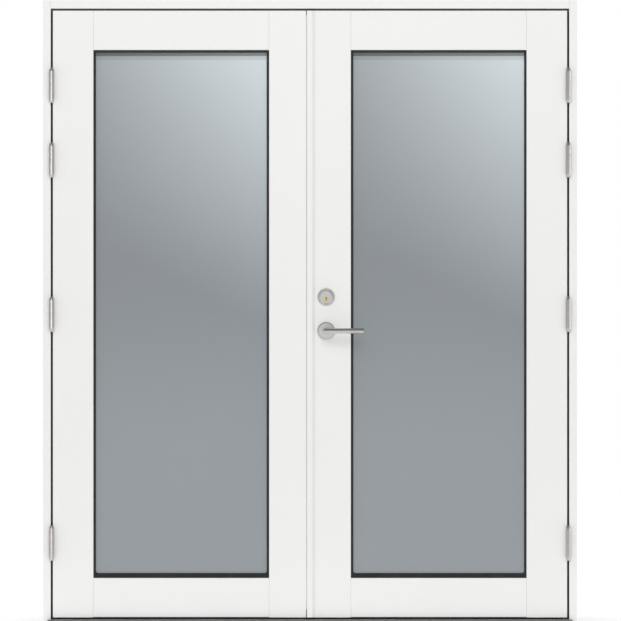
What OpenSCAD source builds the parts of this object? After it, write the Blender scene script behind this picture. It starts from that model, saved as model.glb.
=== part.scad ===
// French doors: two glazed timber leaves that open outwards, hung in a rebated timber
// frame over an aluminium threshold. Seen from outside, x runs to the right, y runs
// inwards and z runs up. The origin is the middle of the frame's underside.

/* [Frame] */
// Overall width of the frame
frame_w = 1790; // [1600:10:2000]
// Overall height of the frame
frame_h = 2090; // [2000:10:2400]
// Depth of the frame, from its outside face to its inside face
frame_depth = 115; // [105:1:150]
// Width of a jamb's outside face
jamb_face = 26; // [24:1:50]
// Height of the head's outside face
head_face = 29; // [26:1:60]
// How far the door stop stands out from the rebate
stop_w = 19; // [16:1:24]
// Space between a closed leaf and the door stop
seal_gap = 4; // [3:0.5:7]
// Bevel that eases the timber edges
arris = 1.5; // [0.5:0.25:3]

/* [Threshold] */
// Height of the threshold at its nose
nose_top = 13; // [12:0.5:18]
// Rise of the threshold from its nose to the door stop
threshold_fall = 1.5; // [0.5:0.5:4]
// Height of the threshold's stop above its plate
threshold_step = 30; // [26:1:40]
// How far the nose stands out from the frame
nose_out = 18; // [16:1:40]
// How far the nose laps over each jamb
nose_wing = 10.5; // [4:0.5:20]
// Thickness of the threshold plate
plate_t = 3; // [2.5:0.5:5]
// Height of the nose's lower edge above the floor
nose_lip_z = 2; // [1:0.5:5]
// Number of tread grooves along the nose
tread_grooves = 3; // [1:1:3]
// Spacing of the tread grooves
tread_pitch = 4; // [3:0.5:4.5]

/* [Leaves] */
// Thickness of a leaf
leaf_t = 62; // [58:1:68]
// Setback of the leaves from the frame's outside face
leaf_setback = 2; // [1:0.5:5]
// Gap between a leaf and its jamb
leaf_gap = 7; // [6:0.5:9]
// Gap between a leaf and the head
head_gap = 7; // [6:0.5:10]
// Gap between a leaf and the threshold
bottom_gap = 5.5; // [4:0.5:9]
// Width of a hinge stile
stile_w = 136; // [100:1:160]
// Distance from the centre line to the glass openings
centre_half = 137; // [125:1:160]
// Height of a top rail
top_rail_h = 132; // [100:1:160]
// Height of a bottom rail
bottom_rail_h = 132.5; // [100:0.5:200]
// How far the bottom rails end above the feet of the stiles
rail_lift = 1.5; // [0.5:0.5:6]
// Length of the tenons on the rails
tenon_l = 40; // [20:1:45]
// Thickness of the tenons on the rails
tenon_t = 18; // [12:1:22]
// Shoulder left beside each tenon
tenon_shoulder = 18; // [10:1:25]
// Bevel on each side of the joint between rail and stile
joint_bevel = 1.2; // [0.5:0.1:2]

/* [Meeting edges] */
// Gap between the outside faces of the closed leaves
meeting_gap = 2.8; // [2.6:0.1:4]
// How far the meeting gap lies left of the centre line
meeting_shift = 11.8; // [8:0.1:14]
// Bevel of each meeting edge across the leaf, so that one leaf can swing past the other
edge_bevel = 3; // [2.5:0.5:5]
// Width of the astragal strip on the active leaf
astragal_w = 26; // [22:0.5:30]
// Width of the astragal's flat front
astragal_flat = 16.5; // [10:0.5:19]
// Thickness of the astragal
astragal_t = 8; // [5:0.5:12]
// Thickness of the astragal at its bevelled edge
astragal_edge = 1.5; // [0.5:0.5:3]
// How far the meeting seal stands out into the gap
meeting_seal_out = 1.5; // [1:0.1:1.7]

/* [Glazing] */
// Thickness of the outer lip that holds the glass
lip_t = 10; // [8:0.5:12]
// Depth of the glazing rebate
rebate_d = 14; // [12:0.5:18]
// Thickness of the gasket between lip and glass
gasket_t = 3; // [2:0.5:4]
// Width of gasket that shows beside and above the glass
gasket_show = 8; // [6:0.5:12]
// Width of gasket that shows below the glass
gasket_foot = 16; // [8:0.5:24]
// Radius of the gasket's lower inside corners
gasket_corner_r = 8; // [4:0.5:12]
// Setback of the gasket's front edge from the leaf's face
gasket_front = 4; // [2:0.5:6]
// Thickness of one glass pane
pane_t = 4; // [3:0.5:5]
// Width of the cavity between two panes
cavity = 12; // [10:0.5:13]
// Space left round the glass in its rebate
edge_clear = 4; // [3:0.5:6]
// Width of the spacer bar between the panes
spacer_w = 11; // [8:0.5:13]
// How far the glazing beads show inside the opening
bead_show = 2; // [1:0.5:6]
// Bevel on the glazing beads
bead_bevel = 5; // [2:0.5:6]
// Length of a setting block under the glass
setting_block_l = 100; // [60:5:150]

/* [Hinges] */
// Height of a hinge
hinge_h = 118; // [90:2:130]
// Diameter of the hinge knuckles
knuckle_d = 18; // [16:0.5:20]
// Diameter of the hinge pins
pin_d = 9; // [7:0.5:10]
// Width of a hinge plate
hinge_plate_w = 32; // [26:1:34]
// Thickness of a hinge plate
hinge_plate_t = 3; // [2.5:0.25:4]
// Distance from each end of a leaf to the nearest hinge
hinge_end = 250; // [180:5:350]
// Distance between the two upper hinges
hinge_pair = 250; // [180:5:300]
// Closed end of a knuckle beyond the pin
knuckle_end = 7; // [4:0.5:12]
// Length of a knuckle's tapered end
knuckle_taper = 13; // [8:0.5:16]
// Diameter of a knuckle at its tip
knuckle_tip_d = 7.5; // [6:0.5:10]

/* [Lock] */
// Distance from the meeting edge to the lever's axis
backset = 64.5; // [55:0.5:75]
// Height of the lever's axis above the floor
lever_z = 981; // [900:1:1100]
// Distance from the lever's axis up to the lock plug
lock_centres = 107.5; // [90:0.5:120]
// How far the lock plug lies below the middle of its ring
plug_drop = 5.5; // [3:0.5:6]
// Diameter of the roses and of the cylinder ring
rose_d = 58; // [50:1:64]
// Thickness of a rose
rose_t = 9; // [7:0.5:12]
// Height of the cylinder ring
ring_h = 13; // [10:0.5:18]
// Diameter of the cylinder ring's flat front
ring_front_d = 40; // [36:1:46]
// Diameter of the cylinder housing
cylinder_d = 30; // [28:0.5:32]
// Diameter of the lock plug
plug_d = 15.5; // [12:0.5:16]
// Diameter of the lever
lever_d = 18; // [14:0.5:22]
// Reach of the lever from its axis
lever_reach = 127; // [90:1:140]
// Distance from the leaf's face to the middle of the lever
lever_out = 52; // [42:1:65]
// Width of the square spindle
spindle_w = 8; // [7:0.5:9]
// Depth of the lock case behind its faceplate
case_depth = 88; // [84:1:95]
// Thickness of the lock case
case_t = 16; // [15:0.5:17]
// Width of the faceplate and the strikes
faceplate_w = 20; // [18:0.5:22]
// Thickness of the faceplate and the strikes
faceplate_t = 3; // [2:0.5:3.5]
// Distance from each end of a leaf to the nearest lock bolt
bolt_end = 360; // [330:5:450]
// Height of the middle bolt above the lever's axis
middle_bolt_rise = 52; // [46:1:56]
// Thickness of a bolt
bolt_t = 10; // [8:0.5:11]
// Height of a bolt
bolt_h = 30; // [20:1:34]
// Throw of the bolts
bolt_throw = 22; // [16:0.5:25]
// Length of a bolt
bolt_l = 42; // [36:1:50]

/* [Flush bolts] */
// Diameter of a flush bolt's rod
rod_d = 10; // [8:0.5:11]
// Depth of the rod's axis behind the meeting edge
rod_in = 16; // [14:0.5:20]
// Throw of a flush bolt
rod_throw = 16; // [14:0.5:16.5]
// Length of a flush bolt's plate
flush_plate_l = 180; // [150:5:220]
// Distance from the end of the leaf to a flush bolt's plate
flush_plate_end = 20; // [15:1:40]
// How far the thumb slide stands out from its plate
slide_out = 1.8; // [1.4:0.1:2]

/* [Frame fixings] */
// Outside diameter of a fixing sleeve
sleeve_d = 14; // [12:0.5:16]
// Bore of a fixing sleeve
sleeve_bore = 9; // [7:0.5:10]
// Distance from each end of a jamb to its nearest fixing
fixing_end = 150; // [120:5:190]
// Distance between the two middle fixings of a jamb
fixing_middle = 590; // [500:10:700]
// Distance between the two fixings of the head
fixing_head = 900; // [600:10:1200]
// Depth of the fixings behind the frame's outside face
fixing_depth = 37.5; // [36:0.5:42]

/* [Hidden] */
$fn = 64;

// Clearances that every fit shares
fit_clear = 0.1;      // pieces that stay put
running_clear = 0.05; // shafts and pins that turn
slide_clear = 0.3;    // bolts and rods that slide
knuckle_clear = 0.5;  // knuckle to jamb
turn_clear = 0.5;     // lever neck to leaf, and thumb turn to its rose
knuckle_gap = 0.6;    // between the two knuckles of a hinge
pin_end_clear = 0.5;  // pin to the closed end of the leaf's knuckle
seal_clear = 0.3;     // seals to the leaf

// Frame
half_w = frame_w / 2;
face_y = -frame_depth / 2;
back_y = frame_depth / 2;
rebate_x = half_w - jamb_face;
stop_x = rebate_x - stop_w;
rebate_z = frame_h - head_face;
stop_z = rebate_z - stop_w;

// Leaves: outer and inner face, lower and upper end, opening and hinge edge
leaf_y = [face_y + leaf_setback, face_y + leaf_setback + leaf_t];
mid_y = (leaf_y[0] + leaf_y[1]) / 2;
stop_y = leaf_y[1] + seal_gap;
threshold_top = nose_top + threshold_fall;
leaf_z = [threshold_top + bottom_gap, rebate_z - head_gap];
hinge_edge = rebate_x - leaf_gap;
open_x = [centre_half, hinge_edge - stile_w];
open_z = [leaf_z[0] + bottom_rail_h, leaf_z[1] - top_rail_h];
rail_foot = leaf_z[0] + rail_lift;

// The solid part of each rail, between its outer edge and the glazing rebate
bottom_core = [rail_foot, open_z[0] - rebate_d];
top_core = [open_z[1] + rebate_d, leaf_z[1]];

// Threshold
nose_y = face_y - nose_out;
nose_half = rebate_x + nose_wing;
sill_floor = threshold_top - plate_t;
sill_top = threshold_top + threshold_step;
tread_w = 1.5;
tread_depth = 0.8;
tread_first = 4;
nose_bevel = 1.5;

// Seals: a rib that is pressed into the stop, and a bulb that meets the leaf. The meeting
// seal's two depths are behind the leaf's face
seal_rib = [3, 5];
seal_half = 4;
seal_shoulder = 1.5;
seal_x = (stop_x + hinge_edge) / 2;
seal_head_z = (stop_z + leaf_z[1]) / 2;
seal_sill_z = (leaf_z[0] + sill_top) / 2;
rain_setback = 12;
rain_base = [8, 1];
rain_lip = [2, 5.5];
meeting_seal_y = [5, 11];
meeting_seal_tip = 2;

// Glazing, from the outside inwards
lip_back = leaf_y[0] + lip_t;
glass_y = lip_back + gasket_t;
bead_y = glass_y + 3 * pane_t + 2 * cavity;
glass_in = rebate_d - edge_clear;
pane_x = [open_x[0] - glass_in, open_x[1] + glass_in];
pane_z = [open_z[0] - glass_in, open_z[1] + glass_in];
gasket_tip_in = 0.5;
gasket_tip = lip_t - gasket_tip_in;
spacer_inset = 4;
setting_block_end = 60;
mitre_gap = 0.2;

// Hinges
hinge_x = rebate_x - leaf_gap / 2;
hinge_y = face_y - knuckle_d / 2 - knuckle_clear;
hinge_low = leaf_z[0] + hinge_end;
hinge_high = leaf_z[1] - hinge_end;
hinge_z = [hinge_low, (hinge_low + hinge_high) / 2, hinge_high - hinge_pair, hinge_high];
hinge_plate_r = 8;
shoulder = [0.85, 0.45]; // of a tapered knuckle: share of its radius, and of its taper
pin_half = hinge_h / 2 - knuckle_end;

// Lock, on the right leaf
right_edge = meeting_edge(1);
lever_x = right_edge + backset;
plug_z = lever_z + lock_centres;
ring_z = plug_z + plug_drop;
plate_y = mid_y + faceplate_w / 2;
faceplate_x = edge_x(1, plate_y);
case_x = faceplate_x + faceplate_t;
case_below = 55;
case_above = 52;
case_z = [lever_z - case_below, ring_z + case_above];
bolt_z = [leaf_z[0] + bolt_end, lever_z + middle_bolt_rise, leaf_z[1] - bolt_end];
faceplate_end = 60;
faceplate_z = grow([bolt_z[0], bolt_z[2]], faceplate_end);
bolt_rest = 0.2;
bolt_bevel = 1.5;
ring_base = 2;
rose_round = 3;
lever_round = 2;
socket_l = 24;
spindle_hole = 20;
follower_d = 18;
keyway = [3, 10, 22];
cylinder_recess = 1;
plug_proud = 0.5;
plug_l = 34;
turn_d = 12;
turn_hole = 16;
turn_collar = [26, 4];
turn_grip = [9, 32, 16];
strike_l = 110;
pocket_clear = 1.5;
pocket_end = 4;

// Flush bolts and strikes, on the left leaf
left_edge = meeting_edge(-1);
strike_x = edge_x(-1, plate_y);
rod_x = left_edge + rod_in;
flush_plate_t = 2.5;
rod_rest = 0.5;
rod_l = 130;
slide = [6, 12];
keeper_hole = rod_d + 6;
keeper_plate = [60, 20, 2.5];
keeper_depth = 14;
cup_wall = 3;
cup_floor = 1.4;
cup_z = 2;

// Frame fixings
fixing_y = face_y + fixing_depth;
fixing_z = [
    fixing_end,
    frame_h / 2 - fixing_middle / 2,
    frame_h / 2 + fixing_middle / 2,
    frame_h - fixing_end
];
cap_d = 18;
cap_t = 1.2;

// Colours of the finishes
paint = "#f1f1ef";
steel = "#b4b3af";
bright_steel = "#c9c8c4";
brass = "#c9a750";
rubber = "#2a2b2c";
grey_seal = "#c4c4c2";
aluminium = "#87888a";
glass = "#a4b1b8";
plastic = "#d9d9d6";
timber = "#b9a58a";

// A range of the given width about a middle, and a range made longer at both ends
function around(middle, width) = [middle - width / 2, middle + width / 2];
function grow(span, by) = [span[0] - by, span[1] + by];

// Distance from the centre line to the meeting edge of a leaf, +1 right and -1 left
function meeting_edge(side) = meeting_gap / 2 - side * meeting_shift;

// The same distance at a depth, along the bevel of the edge
function edge_x(side, y) = meeting_edge(side) + edge_bevel * (y - leaf_y[0]) / (leaf_t - arris);

// Heights of the threshold plate's top and underside at a depth
function plate_z(y) = nose_top + threshold_fall * (y - nose_y) / (stop_y - nose_y);
function plate_under(y) =
    nose_top - plate_t + threshold_fall * (y - nose_y - plate_t) / (stop_y - nose_y - plate_t);

// The corners of a rectangle, anticlockwise from the lower left
function corners(x, z) = [[x[0], z[0]], [x[1], z[0]], [x[1], z[1]], [x[0], z[1]]];

// Turn a list of (across, depth) points about, for the four bars of a ring
function across_x(points, edge, sign) = [for (p = points) [edge + sign * p[0], leaf_y[0] + p[1]]];
function across_z(points, edge, sign) = [for (p = points) [leaf_y[0] + p[1], edge + sign * p[0]]];

// A block between two x, two y and two z
module block(x, y, z) {
    translate([x[0], y[0], z[0]])
        cube([x[1] - x[0], y[1] - y[0], z[1] - z[0]]);
}

// Extrude a (y, z) outline along x
module extrude_x(x) {
    translate([x[0], 0, 0])
        rotate([90, 0, 90])
            linear_extrude(x[1] - x[0]) children();
}

// Extrude an (x, z) outline along y
module extrude_y(y) {
    translate([0, y[1], 0])
        rotate([90, 0, 0])
            linear_extrude(y[1] - y[0]) children();
}

// Extrude an (x, y) outline along z
module extrude_z(z) {
    translate([0, 0, z[0]])
        linear_extrude(z[1] - z[0]) children();
}

// Place a piece of the right leaf, or its mirror image for the left leaf
module on_side(side) {
    mirror([side < 0 ? 1 : 0, 0, 0]) children();
}

// Place a piece on the inside of the leaf as the mirror image of the outside
module on_inside() {
    translate([0, 2 * mid_y, 0])
        mirror([0, 1, 0]) children();
}

// Stand a turned piece on the leaf's outside face, with its axis pointing outwards
module on_face(x, z) {
    translate([x, leaf_y[0], z])
        rotate([90, 0, 0]) children();
}

// An upright strip with round ends
module strip(w, h) {
    square([w, h - w], center = true);
    for (end = [-1, 1])
        translate([0, end * (h - w) / 2]) circle(d = w);
}

// A disc with a rounded front edge and a bore, standing on z = 0
module rounded_disc(d, t, r, bore) {
    difference() {
        rotate_extrude() {
            square([d / 2 - r, t]);
            square([d / 2, t - r]);
            translate([d / 2 - r, t - r]) circle(r);
        }
        translate([0, 0, -1]) cylinder(d = bore, h = t + 2);
    }
}

// Frame

module jamb_plan() {
    polygon([
        [rebate_x + arris, face_y], [half_w, face_y], [half_w, back_y],
        [rebate_x, back_y], [rebate_x, face_y + arris]
    ]);
}

module head_section() {
    polygon([
        [face_y, rebate_z + arris], [face_y, frame_h], [back_y, frame_h],
        [back_y, rebate_z], [face_y + arris, rebate_z]
    ]);
}

module jamb(side) {
    color(paint)
        on_side(side)
            difference() {
                extrude_z([0, frame_h]) jamb_plan();
                for (z = hinge_z) frame_plate(z);
                for (z = fixing_z) jamb_fixing(z, sleeve_d + 2 * fit_clear);
                for (z = fixing_z) jamb_cap(z);
            }
}

module frame_jamb_left() { jamb(-1); }
module frame_jamb_right() { jamb(1); }

// The head fits between the jambs
module frame_head() {
    color(paint)
        difference() {
            extrude_x([-rebate_x, rebate_x]) head_section();
            for (side = [-1, 1]) {
                head_fixing(side, sleeve_d + 2 * fit_clear);
                head_cap(side);
            }
            keeper_body(rebate_z - 1, fit_clear);
            keeper_pocket();
        }
}

// Stops planted on jambs and head, cut a little short so that each is a piece of its own
module door_stops() {
    color(paint)
        difference() {
            union() {
                for (side = [-1, 1])
                    on_side(side)
                        extrude_z([sill_floor, rebate_z])
                            polygon([
                                [stop_x, stop_y], [rebate_x, stop_y], [rebate_x, back_y],
                                [stop_x + arris, back_y], [stop_x, back_y - arris]
                            ]);
                extrude_x([mitre_gap - stop_x, stop_x - mitre_gap])
                    polygon([
                        [stop_y, stop_z], [back_y - arris, stop_z], [back_y, stop_z + arris],
                        [back_y, rebate_z], [stop_y, rebate_z]
                    ]);
            }
            seal_ring();
        }
}

module threshold_sill() {
    color(timber)
        difference() {
            extrude_x([-rebate_x, rebate_x])
                polygon([
                    [face_y, 0], [back_y, 0], [back_y, sill_floor], [stop_y, sill_floor],
                    [face_y, plate_under(face_y)]
                ]);
            keeper_cup(sill_top);
        }
}

// The stop on the sill runs between the stops on the jambs
module sill_stop() {
    color(timber)
        difference() {
            extrude_x([-stop_x, stop_x])
                polygon([
                    [stop_y, sill_floor], [back_y, sill_floor], [back_y, sill_top - arris],
                    [back_y - arris, sill_top], [stop_y, sill_top]
                ]);
            sill_seal();
        }
}

module threshold_plate() {
    color(aluminium)
        difference() {
            extrude_x([-nose_half, nose_half])
                difference() {
                    polygon([
                        [nose_y, nose_lip_z], [nose_y + plate_t, nose_lip_z],
                        [nose_y + plate_t, nose_top - plate_t], [stop_y, sill_floor],
                        [stop_y, threshold_top], [nose_y + nose_bevel, nose_top],
                        [nose_y, nose_top - nose_bevel]
                    ]);
                    for (i = [0 : tread_grooves - 1])
                        translate([nose_y + tread_first + i * tread_pitch, nose_top - tread_depth])
                            square([tread_w, threshold_top]);
                }
            for (side = [-1, 1])
                on_side(side) block([rebate_x, nose_half + 1], [face_y, stop_y + 1], [0, sill_top]);
            keeper_cup(sill_top);
        }
}

// Section of the stop seal: across the stop, and depth behind the stop's face
function seal_section() = [
    [-seal_rib[0] / 2, seal_rib[1]], [seal_rib[0] / 2, seal_rib[1]], [seal_rib[0] / 2, 0],
    [seal_half, 0], [seal_half, -seal_shoulder], [seal_half / 2, seal_clear - seal_gap],
    [-seal_half / 2, seal_clear - seal_gap], [-seal_half, -seal_shoulder], [-seal_half, 0],
    [-seal_rib[0] / 2, 0]
];

module seal_ring() {
    for (side = [-1, 1])
        on_side(side)
            extrude_z([leaf_z[0], seal_head_z + seal_half])
                polygon([for (p = seal_section()) [seal_x + p[0], stop_y + p[1]]]);
    extrude_x([-seal_x - seal_half, seal_x + seal_half])
        polygon([for (p = seal_section()) [stop_y + p[1], seal_head_z + p[0]]]);
}

module sill_seal() {
    extrude_x([-stop_x, stop_x])
        polygon([for (p = seal_section()) [stop_y + p[1], seal_sill_z + p[0]]]);
}

module stop_gaskets() {
    color(rubber) {
        seal_ring();
        sill_seal();
    }
}

// Section of the rain seal: a flat base with a lip across the gap
function rain_section() = [
    [0, 0], [rain_base[0], 0], [rain_base[0], rain_base[1]],
    [rain_lip[0] + rain_base[1], rain_base[1]], [rain_lip[0], rain_lip[1]],
    [rain_lip[0] / 2, rain_lip[1]], [rain_lip[0] / 2, rain_base[1]], [0, rain_base[1]]
];

module rain_seals() {
    rain_y = face_y + rain_setback;
    color(rubber) {
        for (side = [-1, 1])
            on_side(side)
                extrude_z([threshold_top, rebate_z])
                    polygon([for (p = rain_section()) [rebate_x - p[1], rain_y + p[0]]]);
        extrude_x([-rebate_x, rebate_x])
            polygon([for (p = rain_section()) [rain_y + p[0], rebate_z - p[1]]]);
    }
}

module jamb_fixing(z, d) {
    translate([rebate_x - 1, fixing_y, z])
        rotate([0, 90, 0]) cylinder(d = d, h = jamb_face + 2);
}

module head_fixing(side, d) {
    translate([side * fixing_head / 2, fixing_y, rebate_z - 1])
        cylinder(d = d, h = head_face + 2);
}

module jamb_cap(z) {
    translate([rebate_x, fixing_y, z])
        rotate([0, 90, 0]) cylinder(d = cap_d, h = cap_t);
}

module head_cap(side) {
    translate([side * fixing_head / 2, fixing_y, rebate_z])
        cylinder(d = cap_d, h = cap_t);
}

// Each sleeve runs from its cap to the back of the frame member
module fixing_sleeves() {
    color(steel)
        difference() {
            union() {
                for (side = [-1, 1])
                    on_side(side)
                        for (z = fixing_z)
                            translate([rebate_x + cap_t, fixing_y, z])
                                rotate([0, 90, 0]) cylinder(d = sleeve_d, h = jamb_face - cap_t);
                for (side = [-1, 1])
                    translate([side * fixing_head / 2, fixing_y, rebate_z + cap_t])
                        cylinder(d = sleeve_d, h = head_face - cap_t);
            }
            for (side = [-1, 1]) {
                on_side(side)
                    for (z = fixing_z) jamb_fixing(z, sleeve_bore);
                head_fixing(side, sleeve_bore);
            }
        }
}

// Cover caps over the sleeves, with a hole to lift them by
module fixing_caps() {
    color(plastic)
        difference() {
            union() {
                for (side = [-1, 1]) {
                    on_side(side)
                        for (z = fixing_z) jamb_cap(z);
                    head_cap(side);
                }
            }
            for (side = [-1, 1]) {
                on_side(side)
                    for (z = fixing_z) jamb_fixing(z, sleeve_bore);
                head_fixing(side, sleeve_bore);
            }
        }
}

// Hinges

// Outline of a hinge plate across the leaf's thickness, round at its inner corners
module hinge_plate_outline(y) {
    translate([y, -hinge_h / 2]) square([hinge_plate_w - hinge_plate_r, hinge_h]);
    translate([y, hinge_plate_r - hinge_h / 2]) square([hinge_plate_w, hinge_h - 2 * hinge_plate_r]);
    for (end = [-1, 1])
        translate([y + hinge_plate_w - hinge_plate_r, end * (hinge_h / 2 - hinge_plate_r)])
            circle(hinge_plate_r);
}

module frame_plate(z) {
    translate([0, 0, z])
        extrude_x([rebate_x, rebate_x + hinge_plate_t]) hinge_plate_outline(face_y);
}

module leaf_plate(z) {
    translate([0, 0, z])
        extrude_x([hinge_edge - hinge_plate_t, hinge_edge]) hinge_plate_outline(leaf_y[0]);
}

// The upper knuckle of a hinge, from the joint line to its tapered end
module knuckle() {
    r = knuckle_d / 2;
    rotate_extrude()
        polygon([
            [0, knuckle_gap / 2], [r, knuckle_gap / 2], [r, hinge_h / 2 - knuckle_taper],
            [r * shoulder[0], hinge_h / 2 - knuckle_taper * shoulder[1]],
            [knuckle_tip_d / 2, hinge_h / 2], [0, hinge_h / 2]
        ]);
}

module leaf_hinges(side) {
    web_x = [hinge_edge - hinge_plate_t, hinge_edge];
    web_z = [knuckle_gap / 2, hinge_h / 2 - knuckle_taper];
    color(steel)
        on_side(side)
            for (z = hinge_z)
                difference() {
                    union() {
                        leaf_plate(z);
                        translate([0, 0, z]) block(web_x, [hinge_y, leaf_y[0]], web_z);
                        translate([hinge_x, hinge_y, z]) knuckle();
                    }
                    translate([hinge_x, hinge_y, z])
                        cylinder(d = pin_d + 2 * running_clear, h = pin_half + pin_end_clear);
                }
}

module frame_hinges(side) {
    web_x = [rebate_x, rebate_x + hinge_plate_t];
    web_z = [knuckle_taper - hinge_h / 2, -knuckle_gap / 2];
    color(steel)
        on_side(side)
            for (z = hinge_z)
                difference() {
                    union() {
                        frame_plate(z);
                        translate([0, 0, z]) block(web_x, [hinge_y, face_y], web_z);
                        translate([hinge_x, hinge_y, z]) mirror([0, 0, 1]) knuckle();
                    }
                    translate([hinge_x, hinge_y, z - pin_half])
                        cylinder(d = pin_d + 2 * running_clear, h = pin_half);
                }
}

module hinge_pins() {
    color(bright_steel)
        for (side = [-1, 1])
            on_side(side)
                for (z = hinge_z)
                    translate([hinge_x, hinge_y, z - pin_half])
                        cylinder(d = pin_d, h = 2 * pin_half);
}

module left_frame_hinges() { frame_hinges(-1); }
module right_frame_hinges() { frame_hinges(1); }
module left_leaf_hinges() { leaf_hinges(-1); }
module right_leaf_hinges() { leaf_hinges(1); }

// Leaves

// The tenon of a rail, which also cuts its mortise
module tenons(rail_z) {
    for (x = [[open_x[0] - tenon_l, open_x[0]], [open_x[1], open_x[1] + tenon_l]])
        block(x, around(mid_y, tenon_t), grow(rail_z, -tenon_shoulder));
}

module glazing_rebate() {
    block(grow(open_x, rebate_d), [lip_back, leaf_y[1] + 1], [bottom_core[1], top_core[0]]);
}

module stile_cuts() {
    glazing_rebate();
    tenons(bottom_core);
    tenons(top_core);
}

module hinge_stile(side) {
    color(paint)
        on_side(side)
            difference() {
                extrude_z(leaf_z)
                    polygon([
                        [open_x[1] + joint_bevel, leaf_y[0]], [hinge_edge - arris, leaf_y[0]],
                        [hinge_edge, leaf_y[0] + arris], [hinge_edge, leaf_y[1] - arris],
                        [hinge_edge - arris, leaf_y[1]], [open_x[1], leaf_y[1]],
                        [open_x[1], leaf_y[0] + joint_bevel]
                    ]);
                stile_cuts();
                for (z = hinge_z) leaf_plate(z);
            }
}

// A meeting stile with its bevelled edge
module meeting_stile_blank(side) {
    edge = meeting_edge(side);
    difference() {
        extrude_z(leaf_z)
            polygon([
                [edge, leaf_y[0]], [open_x[0] - joint_bevel, leaf_y[0]],
                [open_x[0], leaf_y[0] + joint_bevel], [open_x[0], leaf_y[1]],
                [edge + edge_bevel + arris, leaf_y[1]], [edge + edge_bevel, leaf_y[1] - arris]
            ]);
        stile_cuts();
    }
}

module rail(section_points) {
    difference() {
        extrude_x(open_x) polygon(section_points);
        for (x = open_x)
            translate([x, leaf_y[0], 0])
                rotate([0, 0, 45])
                    cube([joint_bevel * sqrt(2), joint_bevel * sqrt(2), 2 * frame_h], center = true);
    }
}

module top_rail(side) {
    color(paint)
        on_side(side)
            union() {
                rail([
                    [leaf_y[0], open_z[1] + joint_bevel], [leaf_y[0] + joint_bevel, open_z[1]],
                    [lip_back, open_z[1]], [lip_back, top_core[0]], [leaf_y[1], top_core[0]],
                    [leaf_y[1], leaf_z[1]], [leaf_y[0], leaf_z[1]]
                ]);
                tenons(top_core);
            }
}

module bottom_rail(side) {
    color(paint)
        on_side(side)
            union() {
                rail([
                    [leaf_y[0], rail_foot], [leaf_y[1], rail_foot], [leaf_y[1], bottom_core[1]],
                    [lip_back, bottom_core[1]], [lip_back, open_z[0]],
                    [leaf_y[0] + joint_bevel, open_z[0]], [leaf_y[0], open_z[0] - joint_bevel]
                ]);
                tenons(bottom_core);
            }
}

module left_hinge_stile() { hinge_stile(-1); }
module right_hinge_stile() { hinge_stile(1); }
module left_top_rail() { top_rail(-1); }
module right_top_rail() { top_rail(1); }
module left_bottom_rail() { bottom_rail(-1); }
module right_bottom_rail() { bottom_rail(1); }

// The inactive leaf's meeting stile takes the strikes and the flush bolts
module left_meeting_stile() {
    color(paint)
        on_side(-1)
            difference() {
                meeting_stile_blank(-1);
                for (z = bolt_z) {
                    strike_body(z, left_edge);
                    strike_pocket(z);
                }
                for (end = [0, 1]) {
                    flush_plate_body(end, left_edge);
                    flush_channel(end);
                }
            }
}

// The active leaf's meeting stile takes the lock
module right_meeting_stile() {
    color(paint)
        difference() {
            meeting_stile_blank(1);
            faceplate_body(right_edge);
            case_body();
            for (z = bolt_z) bolt_pocket(z);
            lock_hole(lever_z, spindle_hole, leaf_y);
            lock_hole(ring_z, cylinder_d + 2 * fit_clear, [leaf_y[0], mid_y]);
            lock_hole(plug_z, turn_hole, [mid_y, leaf_y[1]]);
        }
}

// Glazing

module pane(side, index) {
    y = glass_y + index * (pane_t + cavity);
    color(glass, 0.6)
        on_side(side) block(pane_x, [y, y + pane_t], pane_z);
}

module left_glass_outer() { pane(-1, 0); }
module left_glass_middle() { pane(-1, 1); }
module left_glass_inner() { pane(-1, 2); }
module right_glass_outer() { pane(1, 0); }
module right_glass_middle() { pane(1, 1); }
module right_glass_inner() { pane(1, 2); }

// A spacer ring in each cavity, hidden behind the gasket
module glass_spacers(side) {
    color(aluminium)
        on_side(side)
            for (index = [0, 1]) {
                y0 = glass_y + pane_t + index * (pane_t + cavity);
                difference() {
                    block(grow(pane_x, -spacer_inset), [y0, y0 + cavity], grow(pane_z, -spacer_inset));
                    block(
                        grow(pane_x, -spacer_inset - spacer_w), [y0 - 1, y0 + cavity + 1],
                        grow(pane_z, -spacer_inset - spacer_w)
                    );
                }
            }
}

// Section of the gasket: how far into the opening, and depth behind the leaf's face
function gasket_section(show) = [
    [-glass_in, lip_t], [0, lip_t], [0, gasket_front], [show, gasket_tip],
    [show, lip_t + gasket_t], [-glass_in, lip_t + gasket_t]
];

// Four bars with mitred ends, run together at the corners
module glazing_gasket(side) {
    inner_x = grow(open_x, -gasket_show);
    inner_z = [open_z[0] + gasket_foot, open_z[1] - gasket_show];
    rings = [corners(pane_x, pane_z), corners(open_x, open_z), corners(inner_x, inner_z)];
    depth = [leaf_y[0] + gasket_front, glass_y];
    color(rubber)
        on_side(side)
            union() {
                for (bar = [0 : 3])
                    intersection() {
                        extrude_y(depth)
                            polygon(concat(
                                [for (ring = rings) ring[bar]],
                                [for (i = [2 : -1 : 0]) rings[i][(bar + 1) % 4]]
                            ));
                        gasket_bar(bar);
                    }
                for (end = [0, 1])
                    extrude_y([leaf_y[0] + gasket_tip, glass_y])
                        corner_fillet(inner_x[end], inner_z[0], 1 - 2 * end);
            }
}

module gasket_bar(bar) {
    sides = gasket_section(gasket_show);
    foot = gasket_section(gasket_foot);
    if (bar == 0) extrude_x(pane_x) polygon(across_z(foot, open_z[0], 1));
    if (bar == 1) extrude_z(pane_z) polygon(across_x(sides, open_x[1], -1));
    if (bar == 2) extrude_x(pane_x) polygon(across_z(sides, open_z[1], -1));
    if (bar == 3) extrude_z(pane_z) polygon(across_x(sides, open_x[0], 1));
}

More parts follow.
